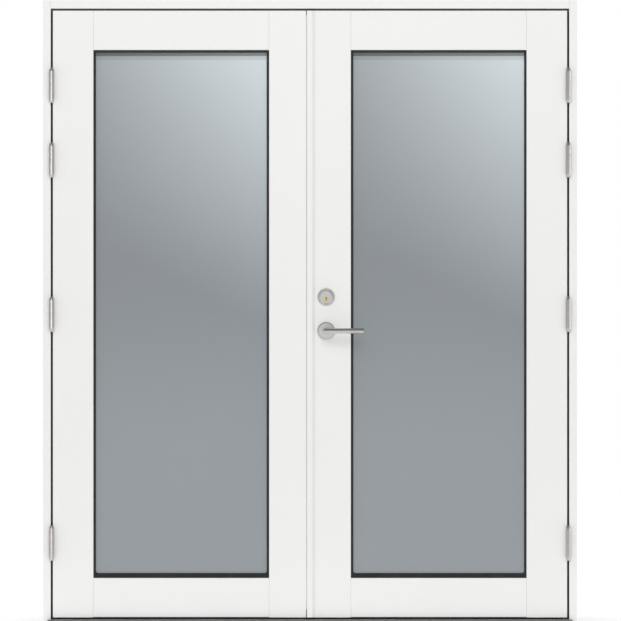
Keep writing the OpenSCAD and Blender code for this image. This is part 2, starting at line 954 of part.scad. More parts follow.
// The rounding in a lower inside corner of the gasket
module corner_fillet(x, z, sign) {
    r = gasket_corner_r;
    difference() {
        translate([sign > 0 ? x : x - r, z]) square(r);
        translate([x + sign * r, z + r]) circle(r);
    }
}

// Section of a glazing bead: how far into the opening, and depth behind the leaf's face
function bead_section() = [
    [-rebate_d, bead_y - leaf_y[0]], [bead_show, bead_y - leaf_y[0]],
    [bead_show, leaf_t - bead_bevel], [bead_show - bead_bevel, leaf_t], [-rebate_d, leaf_t]
];

// Four beads with mitred ends, cut a little short so that each is a piece of its own
module glazing_beads(side) {
    outer = corners(grow(open_x, rebate_d), grow(open_z, rebate_d));
    inner = corners(grow(open_x, -bead_show), grow(open_z, -bead_show));
    trims = mitre_gap / 2 * [[1, 0], [0, 1], [-1, 0], [0, -1]];
    color(paint)
        on_side(side)
            for (bar = [0 : 3]) {
                next = (bar + 1) % 4;
                trim = trims[bar];
                intersection() {
                    extrude_y([bead_y, leaf_y[1]])
                        polygon([
                            outer[bar] + trim, inner[bar] + trim, inner[next] - trim, outer[next] - trim
                        ]);
                    bead_bar(bar);
                }
            }
}

module bead_bar(bar) {
    x = grow(open_x, rebate_d);
    z = grow(open_z, rebate_d);
    if (bar == 0) extrude_x(x) polygon(across_z(bead_section(), open_z[0], 1));
    if (bar == 1) extrude_z(z) polygon(across_x(bead_section(), open_x[1], -1));
    if (bar == 2) extrude_x(x) polygon(across_z(bead_section(), open_z[1], -1));
    if (bar == 3) extrude_z(z) polygon(across_x(bead_section(), open_x[0], 1));
}

// Blocks that carry the glass above the bottom rail
module setting_blocks(side) {
    color(plastic)
        on_side(side)
            for (x = [pane_x[0] + setting_block_end, pane_x[1] - setting_block_end - setting_block_l])
                block([x, x + setting_block_l], [glass_y, bead_y], [pane_z[0] - edge_clear, pane_z[0]]);
}

module left_glass_spacers() { glass_spacers(-1); }
module right_glass_spacers() { glass_spacers(1); }
module left_glazing_gasket() { glazing_gasket(-1); }
module right_glazing_gasket() { glazing_gasket(1); }
module left_glazing_beads() { glazing_beads(-1); }
module right_glazing_beads() { glazing_beads(1); }
module left_setting_blocks() { setting_blocks(-1); }
module right_setting_blocks() { setting_blocks(1); }

// Meeting edges

// The strip that dresses the active leaf's meeting edge
module astragal() {
    front = leaf_y[0] - astragal_t;
    color(paint)
        extrude_z(leaf_z)
            polygon([
                [right_edge, leaf_y[0]], [right_edge, front + arris], [right_edge + arris, front],
                [right_edge + astragal_flat, front],
                [right_edge + astragal_w, leaf_y[0] - astragal_edge],
                [right_edge + astragal_w, leaf_y[0]]
            ]);
}

// A soft lip on the active leaf's edge that fills the sight line through the gap
module meeting_seal() {
    y = [for (depth = meeting_seal_y) leaf_y[0] + depth];
    tip_x = right_edge - meeting_seal_out;
    color(grey_seal)
        extrude_z(leaf_z)
            polygon([
                [edge_x(1, y[0]), y[0]], [edge_x(1, y[1]), y[1]],
                [tip_x, y[0] + meeting_seal_tip], [tip_x, y[0]]
            ]);
}

// Lock

// A round hole through the leaf between two depths
module lock_hole(z, d, y) {
    translate([lever_x, y[1] + 1, z])
        rotate([90, 0, 0]) cylinder(d = d, h = y[1] - y[0] + 2);
}

// The plates lie square in the bevelled edges, and their recesses start at the edge
module faceplate_body(x = faceplate_x) {
    translate([0, mid_y, (faceplate_z[0] + faceplate_z[1]) / 2])
        extrude_x([x, case_x]) strip(faceplate_w, faceplate_z[1] - faceplate_z[0]);
}

module case_body() {
    block([case_x, case_x + case_depth], around(mid_y, case_t), case_z);
}

// The room that a bolt slides in
module bolt_pocket(z) {
    block(
        [faceplate_x - 1, faceplate_x + bolt_rest + bolt_l + pocket_end],
        around(mid_y, bolt_t + 2 * slide_clear), around(z, bolt_h + 2 * slide_clear)
    );
}

module lock_faceplate() {
    color(steel)
        difference() {
            faceplate_body();
            for (z = bolt_z) bolt_pocket(z);
        }
}

// The closed case behind the faceplate, with its bolt, follower and cylinder holes
module lock_case() {
    color(steel)
        difference() {
            case_body();
            bolt_pocket(bolt_z[1]);
            lock_hole(lever_z, follower_d + 2 * running_clear, around(mid_y, case_t));
            lock_hole(ring_z, cylinder_d + 2 * fit_clear, around(mid_y, case_t));
        }
}

// Three bolts on one drive, drawn back flush with the faceplate
module lock_bolts() {
    x = faceplate_x + bolt_rest;
    color(bright_steel)
        for (z = bolt_z)
            difference() {
                block([x, x + bolt_l], around(mid_y, bolt_t), around(z, bolt_h));
                for (end = [-1, 1])
                    translate([x, mid_y, z + end * bolt_h / 2])
                        rotate([0, 45, 0])
                            cube([bolt_bevel, bolt_t + 1, bolt_bevel] * sqrt(2), center = true);
            }
}

module rose() {
    on_face(lever_x, lever_z) rounded_disc(rose_d, rose_t, rose_round, lever_d + 2 * running_clear);
}

module outer_rose() { color(steel) rose(); }
module inner_rose() { color(steel) on_inside() rose(); }

// A lever mitred from round bar: a neck through the rose and a straight grip
module lever() {
    corner = lever_d / 2;
    difference() {
        on_face(lever_x, lever_z) {
            difference() {
                translate([0, 0, turn_clear]) cylinder(d = lever_d, h = lever_out + corner - turn_clear);
                lever_mitre(1);
            }
            difference() {
                translate([-corner, 0, lever_out])
                    rotate([0, 90, 0]) rounded_bar(lever_d, lever_reach + corner, lever_round);
                lever_mitre(-1);
            }
        }
        spindle_body();
    }
}

// The half space on one side of the mitre between the lever's neck and grip
module lever_mitre(side) {
    size = 2 * lever_d;
    translate([0, 0, lever_out])
        rotate([0, 45, 0])
            translate([0, 0, side * size / 2]) cube(size, center = true);
}

// A round bar from z = 0 with a rounded far end
module rounded_bar(d, l, r) {
    rotate_extrude() {
        square([d / 2 - r, l]);
        square([d / 2, l - r]);
        translate([d / 2 - r, l - r]) circle(r);
    }
}

module spindle_body() {
    block(around(lever_x, spindle_w), grow(leaf_y, socket_l), around(lever_z, spindle_w));
}

module outer_lever() { color(steel) lever(); }
module inner_lever() { color(steel) on_inside() lever(); }
module lever_spindle() { color(bright_steel) spindle_body(); }

// The follower turns in the lock case with the spindle
module lock_follower() {
    color(bright_steel)
        difference() {
            translate([lever_x, mid_y + case_t / 2, lever_z])
                rotate([90, 0, 0]) cylinder(d = follower_d, h = case_t);
            spindle_body();
        }
}

// The conical ring that guards the lock cylinder
module cylinder_ring() {
    bore = cylinder_d / 2 + fit_clear;
    color(steel)
        on_face(lever_x, ring_z)
            rotate_extrude()
                polygon([
                    [bore, 0], [rose_d / 2, 0], [rose_d / 2, ring_base],
                    [ring_front_d / 2, ring_h], [bore, ring_h]
                ]);
}

module plug_cylinder(d, front, length) {
    translate([lever_x, leaf_y[0] - front + length, plug_z])
        rotate([90, 0, 0]) cylinder(d = d, h = length);
}

module cylinder_housing() {
    front = ring_h - cylinder_recess;
    length = front + mid_y + case_t / 2 - leaf_y[0];
    color(bright_steel)
        difference() {
            translate([lever_x, leaf_y[0] - front + length, ring_z])
                rotate([90, 0, 0]) cylinder(d = cylinder_d, h = length);
            plug_cylinder(plug_d + 2 * running_clear, front + 1, plug_l + 1);
        }
}

// The plug that the key turns, with an upright keyway
module lock_plug() {
    front = ring_h - cylinder_recess + plug_proud;
    color(brass)
        difference() {
            plug_cylinder(plug_d, front, plug_l);
            block(
                around(lever_x, keyway[0]), [leaf_y[0] - front - 1, leaf_y[0] - front + keyway[2]],
                around(plug_z, keyway[1])
            );
        }
}

module turn_rose() {
    color(steel)
        on_inside()
            on_face(lever_x, plug_z) rounded_disc(rose_d, rose_t, rose_round, turn_d + 2 * running_clear);
}

// The thumb turn: a stem through its rose, a collar and an upright grip
module thumb_turn() {
    stem = (leaf_t - case_t) / 2 - fit_clear;
    collar_z = rose_t + turn_clear;
    color(steel)
        on_inside()
            on_face(lever_x, plug_z) {
                translate([0, 0, -stem]) cylinder(d = turn_d, h = stem + collar_z);
                translate([0, 0, collar_z]) cylinder(d = turn_collar[0], h = turn_collar[1]);
                translate([0, 0, collar_z])
                    linear_extrude(turn_collar[1] + turn_grip[2]) strip(turn_grip[0], turn_grip[1]);
            }
}

// Strikes and flush bolts on the inactive leaf, drawn outwards from the centre line

module strike_body(z, x = strike_x) {
    translate([0, mid_y, z])
        extrude_x([x, strike_x + faceplate_t]) strip(faceplate_w, strike_l);
}

// The room in the stile that a thrown bolt enters
module strike_pocket(z) {
    reach = faceplate_x + bolt_rest + strike_x;
    depth = bolt_throw - reach + pocket_end;
    block(
        [strike_x - 1, strike_x + depth],
        around(mid_y, bolt_t + 2 * pocket_clear), around(z, bolt_h + 2 * pocket_clear)
    );
}

module left_strike_plates() {
    color(steel)
        on_side(-1)
            for (z = bolt_z)
                difference() {
                    strike_body(z);
                    strike_pocket(z);
                }
}

// Middle height of a flush bolt's plate, 0 for the lower one and 1 for the upper one
function flush_plate_z(end) =
    end == 0 ? leaf_z[0] + flush_plate_end + flush_plate_l / 2
             : leaf_z[1] - flush_plate_end - flush_plate_l / 2;

// The rod's ends at rest, the thumb slide's place and the slide's slot
function rod_z(end) =
    end == 0 ? [leaf_z[0] + rod_rest, leaf_z[0] + rod_rest + rod_l]
             : [leaf_z[1] - rod_rest - rod_l, leaf_z[1] - rod_rest];
function slide_z(end) = around(flush_plate_z(end), slide[1]);
function slot_z(end) =
    end == 0 ? [slide_z(0)[0] - rod_throw - slide_clear, slide_z(0)[1] + slide_clear]
             : [slide_z(1)[0] - slide_clear, slide_z(1)[1] + rod_throw + slide_clear];

module flush_plate_body(end, x = strike_x) {
    translate([0, mid_y, flush_plate_z(end)])
        extrude_x([x, strike_x + flush_plate_t]) strip(faceplate_w, flush_plate_l);
}

// The bore for the rod, and the slot that joins it to the plate
module flush_channel(end) {
    z = rod_z(end);
    bore_z = end == 0 ? [z[0] - rod_rest - 1, z[1] + slide_clear]
                      : [z[0] - slide_clear, z[1] + rod_rest + 1];
    translate([rod_x, mid_y, bore_z[0]])
        cylinder(d = rod_d + 2 * slide_clear, h = bore_z[1] - bore_z[0]);
    block([strike_x - 1, rod_x], around(mid_y, slide[0] + 2 * slide_clear), slot_z(end));
}

module left_flush_bolt_plates() {
    color(steel)
        on_side(-1)
            for (end = [0, 1])
                difference() {
                    flush_plate_body(end);
                    flush_channel(end);
                }
}

// A rod in the stile's edge with the thumb slide that moves it
module flush_bolt(end) {
    z = rod_z(end);
    color(bright_steel)
        on_side(-1)
            union() {
                translate([rod_x, mid_y, z[0]]) cylinder(d = rod_d, h = z[1] - z[0]);
                block([strike_x - slide_out, rod_x], around(mid_y, slide[0]), slide_z(end));
            }
}

module top_flush_bolt() { flush_bolt(1); }
module bottom_flush_bolt() { flush_bolt(0); }

// The upper rod enters the head through a plate
module keeper_body(foot, clear) {
    on_side(-1)
        block(
            grow(around(rod_x, keeper_plate[0]), clear), grow(around(mid_y, keeper_plate[1]), clear),
            [foot, rebate_z + keeper_plate[2]]
        );
}

module keeper_pocket() {
    on_side(-1)
        translate([rod_x, mid_y, rebate_z - 1]) cylinder(d = keeper_hole, h = keeper_depth + 1);
}

module head_bolt_keeper() {
    color(steel)
        difference() {
            keeper_body(rebate_z, 0);
            keeper_pocket();
        }
}

// The lower rod enters a cup let into the threshold
module keeper_cup(top) {
    on_side(-1)
        translate([rod_x, mid_y, cup_z]) cylinder(d = keeper_hole + 2 * cup_wall, h = top - cup_z);
}

module threshold_bolt_keeper() {
    color(steel)
        difference() {
            keeper_cup(plate_z(mid_y + keeper_hole / 2 + cup_wall));
            on_side(-1)
                translate([rod_x, mid_y, cup_z + cup_floor]) cylinder(d = keeper_hole, h = sill_top);
        }
}

frame_head();
frame_jamb_left();
frame_jamb_right();
threshold_sill();
threshold_plate();
door_stops();
sill_stop();
stop_gaskets();
rain_seals();
left_frame_hinges();
right_frame_hinges();
hinge_pins();
head_bolt_keeper();
threshold_bolt_keeper();
fixing_sleeves();
fixing_caps();
left_hinge_stile();
left_meeting_stile();
left_top_rail();
left_bottom_rail();
left_glass_outer();
left_glass_middle();
left_glass_inner();
left_glass_spacers();
left_glazing_gasket();
left_glazing_beads();
left_setting_blocks();
left_leaf_hinges();
left_strike_plates();
left_flush_bolt_plates();
top_flush_bolt();
bottom_flush_bolt();
right_hinge_stile();
right_meeting_stile();
right_top_rail();
right_bottom_rail();
right_glass_outer();
right_glass_middle();
right_glass_inner();
right_glass_spacers();
right_glazing_gasket();
right_glazing_beads();
right_setting_blocks();
right_leaf_hinges();
astragal();
meeting_seal();
lock_case();
lock_faceplate();
outer_rose();
inner_rose();
cylinder_ring();
cylinder_housing();
turn_rose();
outer_lever();
inner_lever();
lever_spindle();
lock_follower();
lock_bolts();
lock_plug();
thumb_turn();
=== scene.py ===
"""Looks of a pair of white french doors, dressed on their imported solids.

The solids give every size and place. This script adds the finishes, the screws that the
solids leave out, a plain studio and the camera.
"""
from __future__ import annotations

import logging
import math
from abc import ABC, abstractmethod
from dataclasses import dataclass, field
from enum import Enum
from typing import Any, Mapping, Optional, Sequence, Union

import bmesh
import bpy
from mathutils import Matrix, Vector


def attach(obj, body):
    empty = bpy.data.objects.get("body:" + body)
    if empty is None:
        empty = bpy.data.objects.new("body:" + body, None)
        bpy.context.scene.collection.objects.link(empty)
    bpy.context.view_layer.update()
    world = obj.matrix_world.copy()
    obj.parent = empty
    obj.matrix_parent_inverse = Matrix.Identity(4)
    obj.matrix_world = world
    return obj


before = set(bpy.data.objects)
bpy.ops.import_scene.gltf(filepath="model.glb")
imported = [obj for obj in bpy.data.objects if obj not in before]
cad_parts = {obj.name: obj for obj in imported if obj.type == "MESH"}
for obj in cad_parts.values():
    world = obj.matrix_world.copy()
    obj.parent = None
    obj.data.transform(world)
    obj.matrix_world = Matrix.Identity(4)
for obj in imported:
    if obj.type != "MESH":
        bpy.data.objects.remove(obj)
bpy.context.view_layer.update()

LOG = logging.getLogger("french_doors")
MM = 0.001

Pair = tuple[float, float]
Point = tuple[float, float, float]
Colour = tuple[float, float, float]


class Kind(Enum):
    """What a socket carries, which decides the node that does its sums."""

    NUMBER = "VALUE"
    VECTOR = "VECTOR"
    COLOUR = "RGBA"
    SHADER = "SHADER"


class Socket:
    """An output socket that can be used in sums with numbers, tuples and other sockets."""

    def __init__(self, shader: Shader, output: bpy.types.NodeSocket) -> None:
        """Wrap an output of a node.

        Args:
            shader: The tree that the node is in.
            output: The node's output.
        """
        self.shader = shader
        self.output = output
        self.kind = Kind(output.type)

    def _sum(self, operation: str, first: Term, second: Term) -> Socket:
        """Make the node for one sum.

        Args:
            operation: Name that Math, Vector Math and Mix share for the sum.
            first: Left hand term.
            second: Right hand term.

        Returns:
            The sum's output: a vector or a colour if either term is one, or else a number.
        """
        terms = (first, second)
        kinds = {term.kind for term in terms if isinstance(term, Socket)}
        if Kind.VECTOR in kinds:
            settings = {"operation": operation}
            return self.shader.node("ShaderNodeVectorMath", settings, {0: first, 1: second})
        if Kind.COLOUR in kinds or any(isinstance(term, tuple) for term in terms):
            settings = {"data_type": "RGBA", "blend_type": operation}
            sockets = {"Factor": 1.0, "A": first, "B": second}
            return self.shader.node("ShaderNodeMix", settings, sockets, "Result")
        return self.shader.node("ShaderNodeMath", {"operation": operation}, {0: first, 1: second})

    def __add__(self, other: Term) -> Socket:
        """self + other."""
        return self._sum("ADD", self, other)

    def __radd__(self, other: Term) -> Socket:
        """other + self."""
        return self._sum("ADD", other, self)

    def __sub__(self, other: Term) -> Socket:
        """self - other."""
        return self._sum("SUBTRACT", self, other)

    def __rsub__(self, other: Term) -> Socket:
        """other - self."""
        return self._sum("SUBTRACT", other, self)

    def __mul__(self, other: Term) -> Socket:
        """self * other."""
        return self._sum("MULTIPLY", self, other)

    def __rmul__(self, other: Term) -> Socket:
        """other * self."""
        return self._sum("MULTIPLY", other, self)

    def __truediv__(self, other: Term) -> Socket:
        """self / other."""
        return self._sum("DIVIDE", self, other)

    def __rtruediv__(self, other: Term) -> Socket:
        """other / self."""
        return self._sum("DIVIDE", other, self)

    def __pow__(self, power: float) -> Socket:
        """self to a power."""
        return self._sum("POWER", self, power)

    def __abs__(self) -> Socket:
        """The number without its sign."""
        return self.shader.node("ShaderNodeMath", {"operation": "ABSOLUTE"}, {0: self})

    def swing(self, reach: float) -> Socket:
        """Noise from 0 to 1 as a change of either sign, with this much from least to greatest."""
        return (self - 0.5) * reach

    def above(self, low: float) -> Socket:
        """The larger of the number and a limit."""
        return self._sum("MAXIMUM", self, low)

    def smooth(self, low: float, high: float) -> Socket:
        """Run smoothly from 0 at one value to 1 at another.

        Args:
            low: Value that gives 0.
            high: Value that gives 1. It may be less than low.

        Returns:
            A number from 0 to 1.
        """
        settings = {"interpolation_type": "SMOOTHSTEP"}
        sockets = {"Value": self, "From Min": low, "From Max": high}
        return self.shader.node("ShaderNodeMapRange", settings, sockets)

    def between(self, zero: Term, one: Term) -> Socket:
        """Blend two colours.

        Args:
            zero: Colour where this number is 0.
            one: Colour where it is 1.

        Returns:
            The blended colour.
        """
        sockets = {"Factor": self, "A": zero, "B": one}
        return self.shader.node("ShaderNodeMix", {"data_type": "RGBA"}, sockets, "Result")

    def length(self) -> Socket:
        """A vector's length."""
        settings = {"operation": "LENGTH"}
        return self.shader.node("ShaderNodeVectorMath", settings, {0: self}, "Value")

    def part(self, axis: str) -> Socket:
        """One of a vector's parts, named X, Y or Z."""
        return self.shader.node("ShaderNodeSeparateXYZ", {}, {0: self}, axis)


Term = Union[Socket, float, tuple]
Key = Union[int, str]


class Shader:
    """A node tree that is written as sums of sockets."""

    def __init__(self, tree: bpy.types.NodeTree) -> None:
        """Start from an empty tree."""
        self.tree = tree
        tree.nodes.clear()

    def make(
        self, kind: str, settings: Mapping[str, Any], sockets: Mapping[Key, Term],
    ) -> bpy.types.Node:
        """Make any node.

        Args:
            kind: The node's type name.
            settings: Properties of the node, set before its sockets are looked up.
            sockets: Inputs by place or name, each a constant or another socket.

        Returns:
            The node.
        """
        node = self.tree.nodes.new(kind)
        for name, value in settings.items():
            setattr(node, name, value)
        for key, value in sockets.items():
            self._plug(self._find(node.inputs, key), value)
        return node

    def node(
        self, kind: str, settings: Mapping[str, Any], sockets: Mapping[Key, Term], output: Key = 0,
    ) -> Socket:
        """Make any node and take one of its outputs.

        Args:
            kind: The node's type name.
            settings: Properties of the node, as for make.
            sockets: Its inputs, as for make.
            output: Place or name of the output.

        Returns:
            The output.
        """
        return Socket(self, self._find(self.make(kind, settings, sockets).outputs, output))

    @staticmethod
    def _find(sockets: Sequence[bpy.types.NodeSocket], key: Key) -> bpy.types.NodeSocket:
        """Find one of a node's sockets.

        Args:
            sockets: The node's inputs or outputs.
            key: Place or name of the socket.

        Returns:
            The socket at the place, or the one in use with the name.
        """
        if isinstance(key, int):
            return sockets[key]
        return next(socket for socket in sockets if socket.name == key and socket.enabled)

    def _plug(self, target: bpy.types.NodeSocket, value: Term) -> None:
        """Link a socket to an input, or set a constant on it.

        Args:
            target: The input.
            value: A socket, a number or a tuple. A number fills all parts of a vector or colour.
        """
        if isinstance(value, Socket):
            self.tree.links.new(value.output, target)
        elif target.type == "RGBA":
            parts = value if isinstance(value, tuple) else (value,) * 3
            target.default_value = (*parts, 1.0)
        elif target.type == "VECTOR" and not isinstance(value, tuple):
            target.default_value = (value,) * 3
        else:
            target.default_value = value

    def place(self) -> Socket:
        """Position in the doors' own frame, in metres, which moves with the piece."""
        return self.node("ShaderNodeTexCoord", {}, {}, "Object")

    def noise(self, where: Term, scale: float, detail: float = 2.0) -> Socket:
        """Noise from 0 to 1.

        Args:
            where: Position to take it at.
            scale: Number of waves in a metre.
            detail: How many finer layers are added.

        Returns:
            The noise as a number.
        """
        sockets = {"Vector": where, "Scale": scale, "Detail": detail}
        return self.node("ShaderNodeTexNoise", {}, sockets)

    def bump(self, height: Socket, strength: float, depth: float) -> Socket:
        """Turn a height into a normal.

        Args:
            height: Height from 0 to 1.
            strength: Share of the effect.
            depth: Real depth of the relief in metres.

        Returns:
            The normal.
        """
        sockets = {"Height": height, "Strength": strength, "Distance": depth}
        return self.node("ShaderNodeBump", {}, sockets)

    def finish(self, sockets: Mapping[str, Term]) -> None:
        """End a material's tree in a Principled shader with these inputs."""
        surface = self.node("ShaderNodeBsdfPrincipled", {}, sockets)
        self.make("ShaderNodeOutputMaterial", {}, {"Surface": surface})


class Grain(Enum):
    """Which way grain or brush marks run, as a stretch of the noise along each axis."""

    ALONG_X = (0.02, 1.0, 1.0)
    ALONG_Z = (1.0, 1.0, 0.02)


@dataclass(frozen=True)
class Finish(ABC):
    """A finish, which becomes one material.

    Attributes:
        name: Name of the material.
        colour: Its main colour, in linear light.
        roughness: Its middle roughness.
    """

    name: str
    colour: Colour
    roughness: float

    def material(self) -> bpy.types.Material:
        """Make the finish's material, the first time that it is asked for.

        Returns:
            The material.
        """
        made = bpy.data.materials.get(self.name)
        if made is None:
            made = bpy.data.materials.new(self.name)
            made.use_nodes = True
            made.diffuse_color = (*self.colour, 1.0)
            self.paint(Shader(made.node_tree))
        return made

    @abstractmethod
    def paint(self, shader: Shader) -> None:
        """Write the finish's nodes."""


@dataclass(frozen=True)
class Painted(Finish):
    """Satin paint on timber, with faint brush marks along the grain.

    Attributes:
        grain: Which way it was brushed.
        stroke_waves: Brush marks in a metre, across the grain.
        peel_waves: Waves of the fine orange peel in a metre.
        cloud_waves: Waves of the wide unevenness in a metre.
        peel: Share of the orange peel in the relief.
        relief: Depth of the brush marks, in metres.
    """

    grain: Grain = Grain.ALONG_Z
    stroke_waves: float = 520.0
    peel_waves: float = 1500.0
    cloud_waves: float = 5.0
    peel: float = 0.4
    relief: float = 0.3 * MM

    def paint(self, shader: Shader) -> None:
        """Write brush marks, orange peel and a little unevenness.

        Args:
            shader: The material's tree.
        """
        place = shader.place()
        strokes = shader.noise(place * self.grain.value, self.stroke_waves, detail=4.0)
        peel = shader.noise(place, self.peel_waves, detail=1.0)
        cloud = shader.noise(place, self.cloud_waves)
        shader.finish({
            "Base Color": (1.0 + cloud.swing(0.016) + strokes.swing(0.012)) * self.colour,
            "Roughness": self.roughness + strokes.swing(0.12) + cloud.swing(0.06),
            "Specular IOR Level": 0.35,
            "Normal": shader.bump(
                strokes * (1.0 - self.peel) + peel * self.peel, strength=0.12, depth=self.relief,
            ),
        })


@dataclass(frozen=True)
class Timber(Finish):
    """Oiled hardwood, with dark pores along the grain.

    Attributes:
        grain: Which way the grain runs.
        band_waves: Growth bands in a metre, across the grain.
        band_limits: Noise that gives the darkest and the palest of a band.
        pore_waves: Waves of the pores in a metre, across the grain.
        pore_limits: Noise at which a pore starts, and at which it is full.
        tone_waves: Waves of the wandering tone in a metre.
        dark: Share of the colour that is left in bands and pores.
        relief: Depth of the pores, in metres.
    """

    grain: Grain = Grain.ALONG_X
    band_waves: float = 110.0
    band_limits: Pair = (0.3, 0.7)
    pore_waves: float = 900.0
    pore_limits: Pair = (0.62, 0.72)
    tone_waves: float = 9.0
    dark: float = 0.62
    relief: float = 0.4 * MM

    def paint(self, shader: Shader) -> None:
        """Write growth bands, pores and a wandering tone.

        Args:
            shader: The material's tree.
        """
        place = shader.place()
        stretched = place * self.grain.value
        bands = shader.noise(stretched, self.band_waves, detail=3.0).smooth(*self.band_limits)
        pores = shader.noise(stretched, self.pore_waves, detail=3.0).smooth(*self.pore_limits)
        tone = 1.0 + shader.noise(place, self.tone_waves).swing(0.2)
        dark = tuple(self.dark * part for part in self.colour)
        wood = bands.between(dark, self.colour) * tone
        shader.finish({
            "Base Color": (pores * 0.6).between(wood, dark),
            "Roughness": self.roughness + pores * 0.2,
            "Normal": shader.bump(1.0 - pores, strength=0.25, depth=self.relief),
        })


@dataclass(frozen=True)
class Metal(Finish):
    """Metal that is brushed along an axis, or turned about one that runs along Y.

    Attributes:
        grain: Which way it is brushed.
        turned_about: x and z of the axis that it is turned about, if it is.
        streak: How strongly the marks show.
        rim: Radius beyond which a turned piece is painted darker, a painted shade on its rounded
            rim.
        rim_shade: How much darker the painted shade makes the rim.
        grime_behind: Depth behind which painted shade darkens it, such as in a keyway.
        grime: How much darker the painted shade makes it.
        lit_top_above: Height above which it is painted brighter, as on a threshold: painted light
            on the top over a shaded nose.
        lit_top_gain: How much brighter it is there.
        blend: Half the width in metres over which the painted rim shade and lit top come in, and
            all of it for the painted recess shade.
        smudge_waves: Waves of the faint smudges in a metre.
        brush_waves: Brush marks in a metre, across the grain.
        turning_waves: Turning marks in a metre, from the axis out.
        relief: Depth of the marks, in metres.
    """

    grain: Grain = Grain.ALONG_Z
    turned_about: Optional[Pair] = None
    streak: float = 0.14
    rim: Optional[float] = None
    rim_shade: float = 0.38
    grime_behind: Optional[float] = None
    grime: float = 0.96
    lit_top_above: Optional[float] = None
    lit_top_gain: float = 1.3
    blend: float = 0.5 * MM
    smudge_waves: float = 38.0
    brush_waves: float = 1500.0
    turning_waves: float = 2600.0
    relief: float = 0.1 * MM

    def paint(self, shader: Shader) -> None:
        """Write streaks or turning marks, faint smudges, and the painted shade of a rim or recess
        and painted light on a top.

        Args:
            shader: The material's tree.
        """
        place = shader.place()
        smudge = shader.noise(place, self.smudge_waves, detail=3.0)
        tone = 1.0 + smudge.swing(0.08)
        if self.turned_about is None:
            lines = shader.noise(place * self.grain.value, self.brush_waves, detail=3.0)
        else:
            x, z = self.turned_about
            radius = ((place - (x, 0.0, z)) * (1.0, 0.0, 1.0)).length()
            spread = shader.node("ShaderNodeCombineXYZ", {}, {"X": radius})
            lines = shader.noise(spread, self.turning_waves)
            # Painted shade: the rounded rim of a turned face is painted darker beyond this radius.
            if self.rim is not None:
                beyond = radius.smooth(self.rim - self.blend, self.rim + self.blend)
                tone = tone * (1.0 - self.rim_shade * beyond)
        tone = tone + lines.swing(self.streak)
        # Painted shade in a recess, such as the keyway behind the plug's front.
        if self.grime_behind is not None:
            hidden = place.part("Y").smooth(self.grime_behind, self.grime_behind + self.blend)
            tone = tone * (1.0 - self.grime * hidden)
        # Painted light: the top above this height is painted brighter than the nose, which keeps a
        # colour dark as in shade.
        if self.lit_top_above is not None:
            trodden = place.part("Z").smooth(self.lit_top_above - 2.0 * self.blend, self.lit_top_above)
            tone = tone * (1.0 + self.lit_top_gain * trodden)
        shader.finish({
            "Base Color": tone * self.colour,
            "Metallic": 1.0,
            "Roughness": self.roughness + lines.swing(self.streak) + smudge.swing(0.06),
            "Normal": shader.bump(lines, strength=0.06, depth=self.relief),
        })


@dataclass(frozen=True)
class Moulded(Finish):
    """Rubber or plastic with a fine moulded grain and a little dust.

    Attributes:
        dust: How much the dust hides.
        dust_limits: Noise at which the dust starts, and at which it is full.
        dust_mix: Share of the colour that is left in the dust, and the grey that is added to it.
        paler_above: Height above which it is painted paler, painted light in the head's gap.
        paling: How much the paler tone hides.
        paling_width: Height over which it comes in, in metres.
        speck_waves: Waves of the moulded grain in a metre.
        dust_waves: Waves of the dust in a metre.
        relief: Depth of the moulded grain, in metres.
    """

    dust: float = 0.1
    dust_limits: Pair = (0.4, 0.75)
    dust_mix: Pair = (0.7, 0.12)
    paler_above: Optional[float] = None
    paling: float = 0.6
    paling_width: float = 5.0 * MM
    speck_waves: float = 1400.0
    dust_waves: float = 30.0
    relief: float = 0.2 * MM

    def paint(self, shader: Shader) -> None:
        """Write the moulded grain, the dust and the painted light above a height.

        Args:
            shader: The material's tree.
        """
        place = shader.place()
        speck = shader.noise(place, self.speck_waves)
        dust = shader.noise(place, self.dust_waves, detail=4.0).smooth(*self.dust_limits)
        share, grey = self.dust_mix
        pale = tuple(share * part + grey for part in self.colour)
        cover = dust * self.dust
        # Painted light: above a height the rubber is painted paler, standing in for light in the
        # head's gap.
        if self.paler_above is not None:
            start = self.paler_above - self.paling_width
            cover = cover + self.paling * place.part("Z").smooth(start, self.paler_above)
        shader.finish({
            "Base Color": cover.between(self.colour, pale) * (1.0 + speck.swing(0.2)),
            "Roughness": self.roughness + dust * 0.12 + speck.swing(0.1),
            "Specular IOR Level": 0.4,
            "Normal": shader.bump(speck, strength=0.3, depth=self.relief),
        })


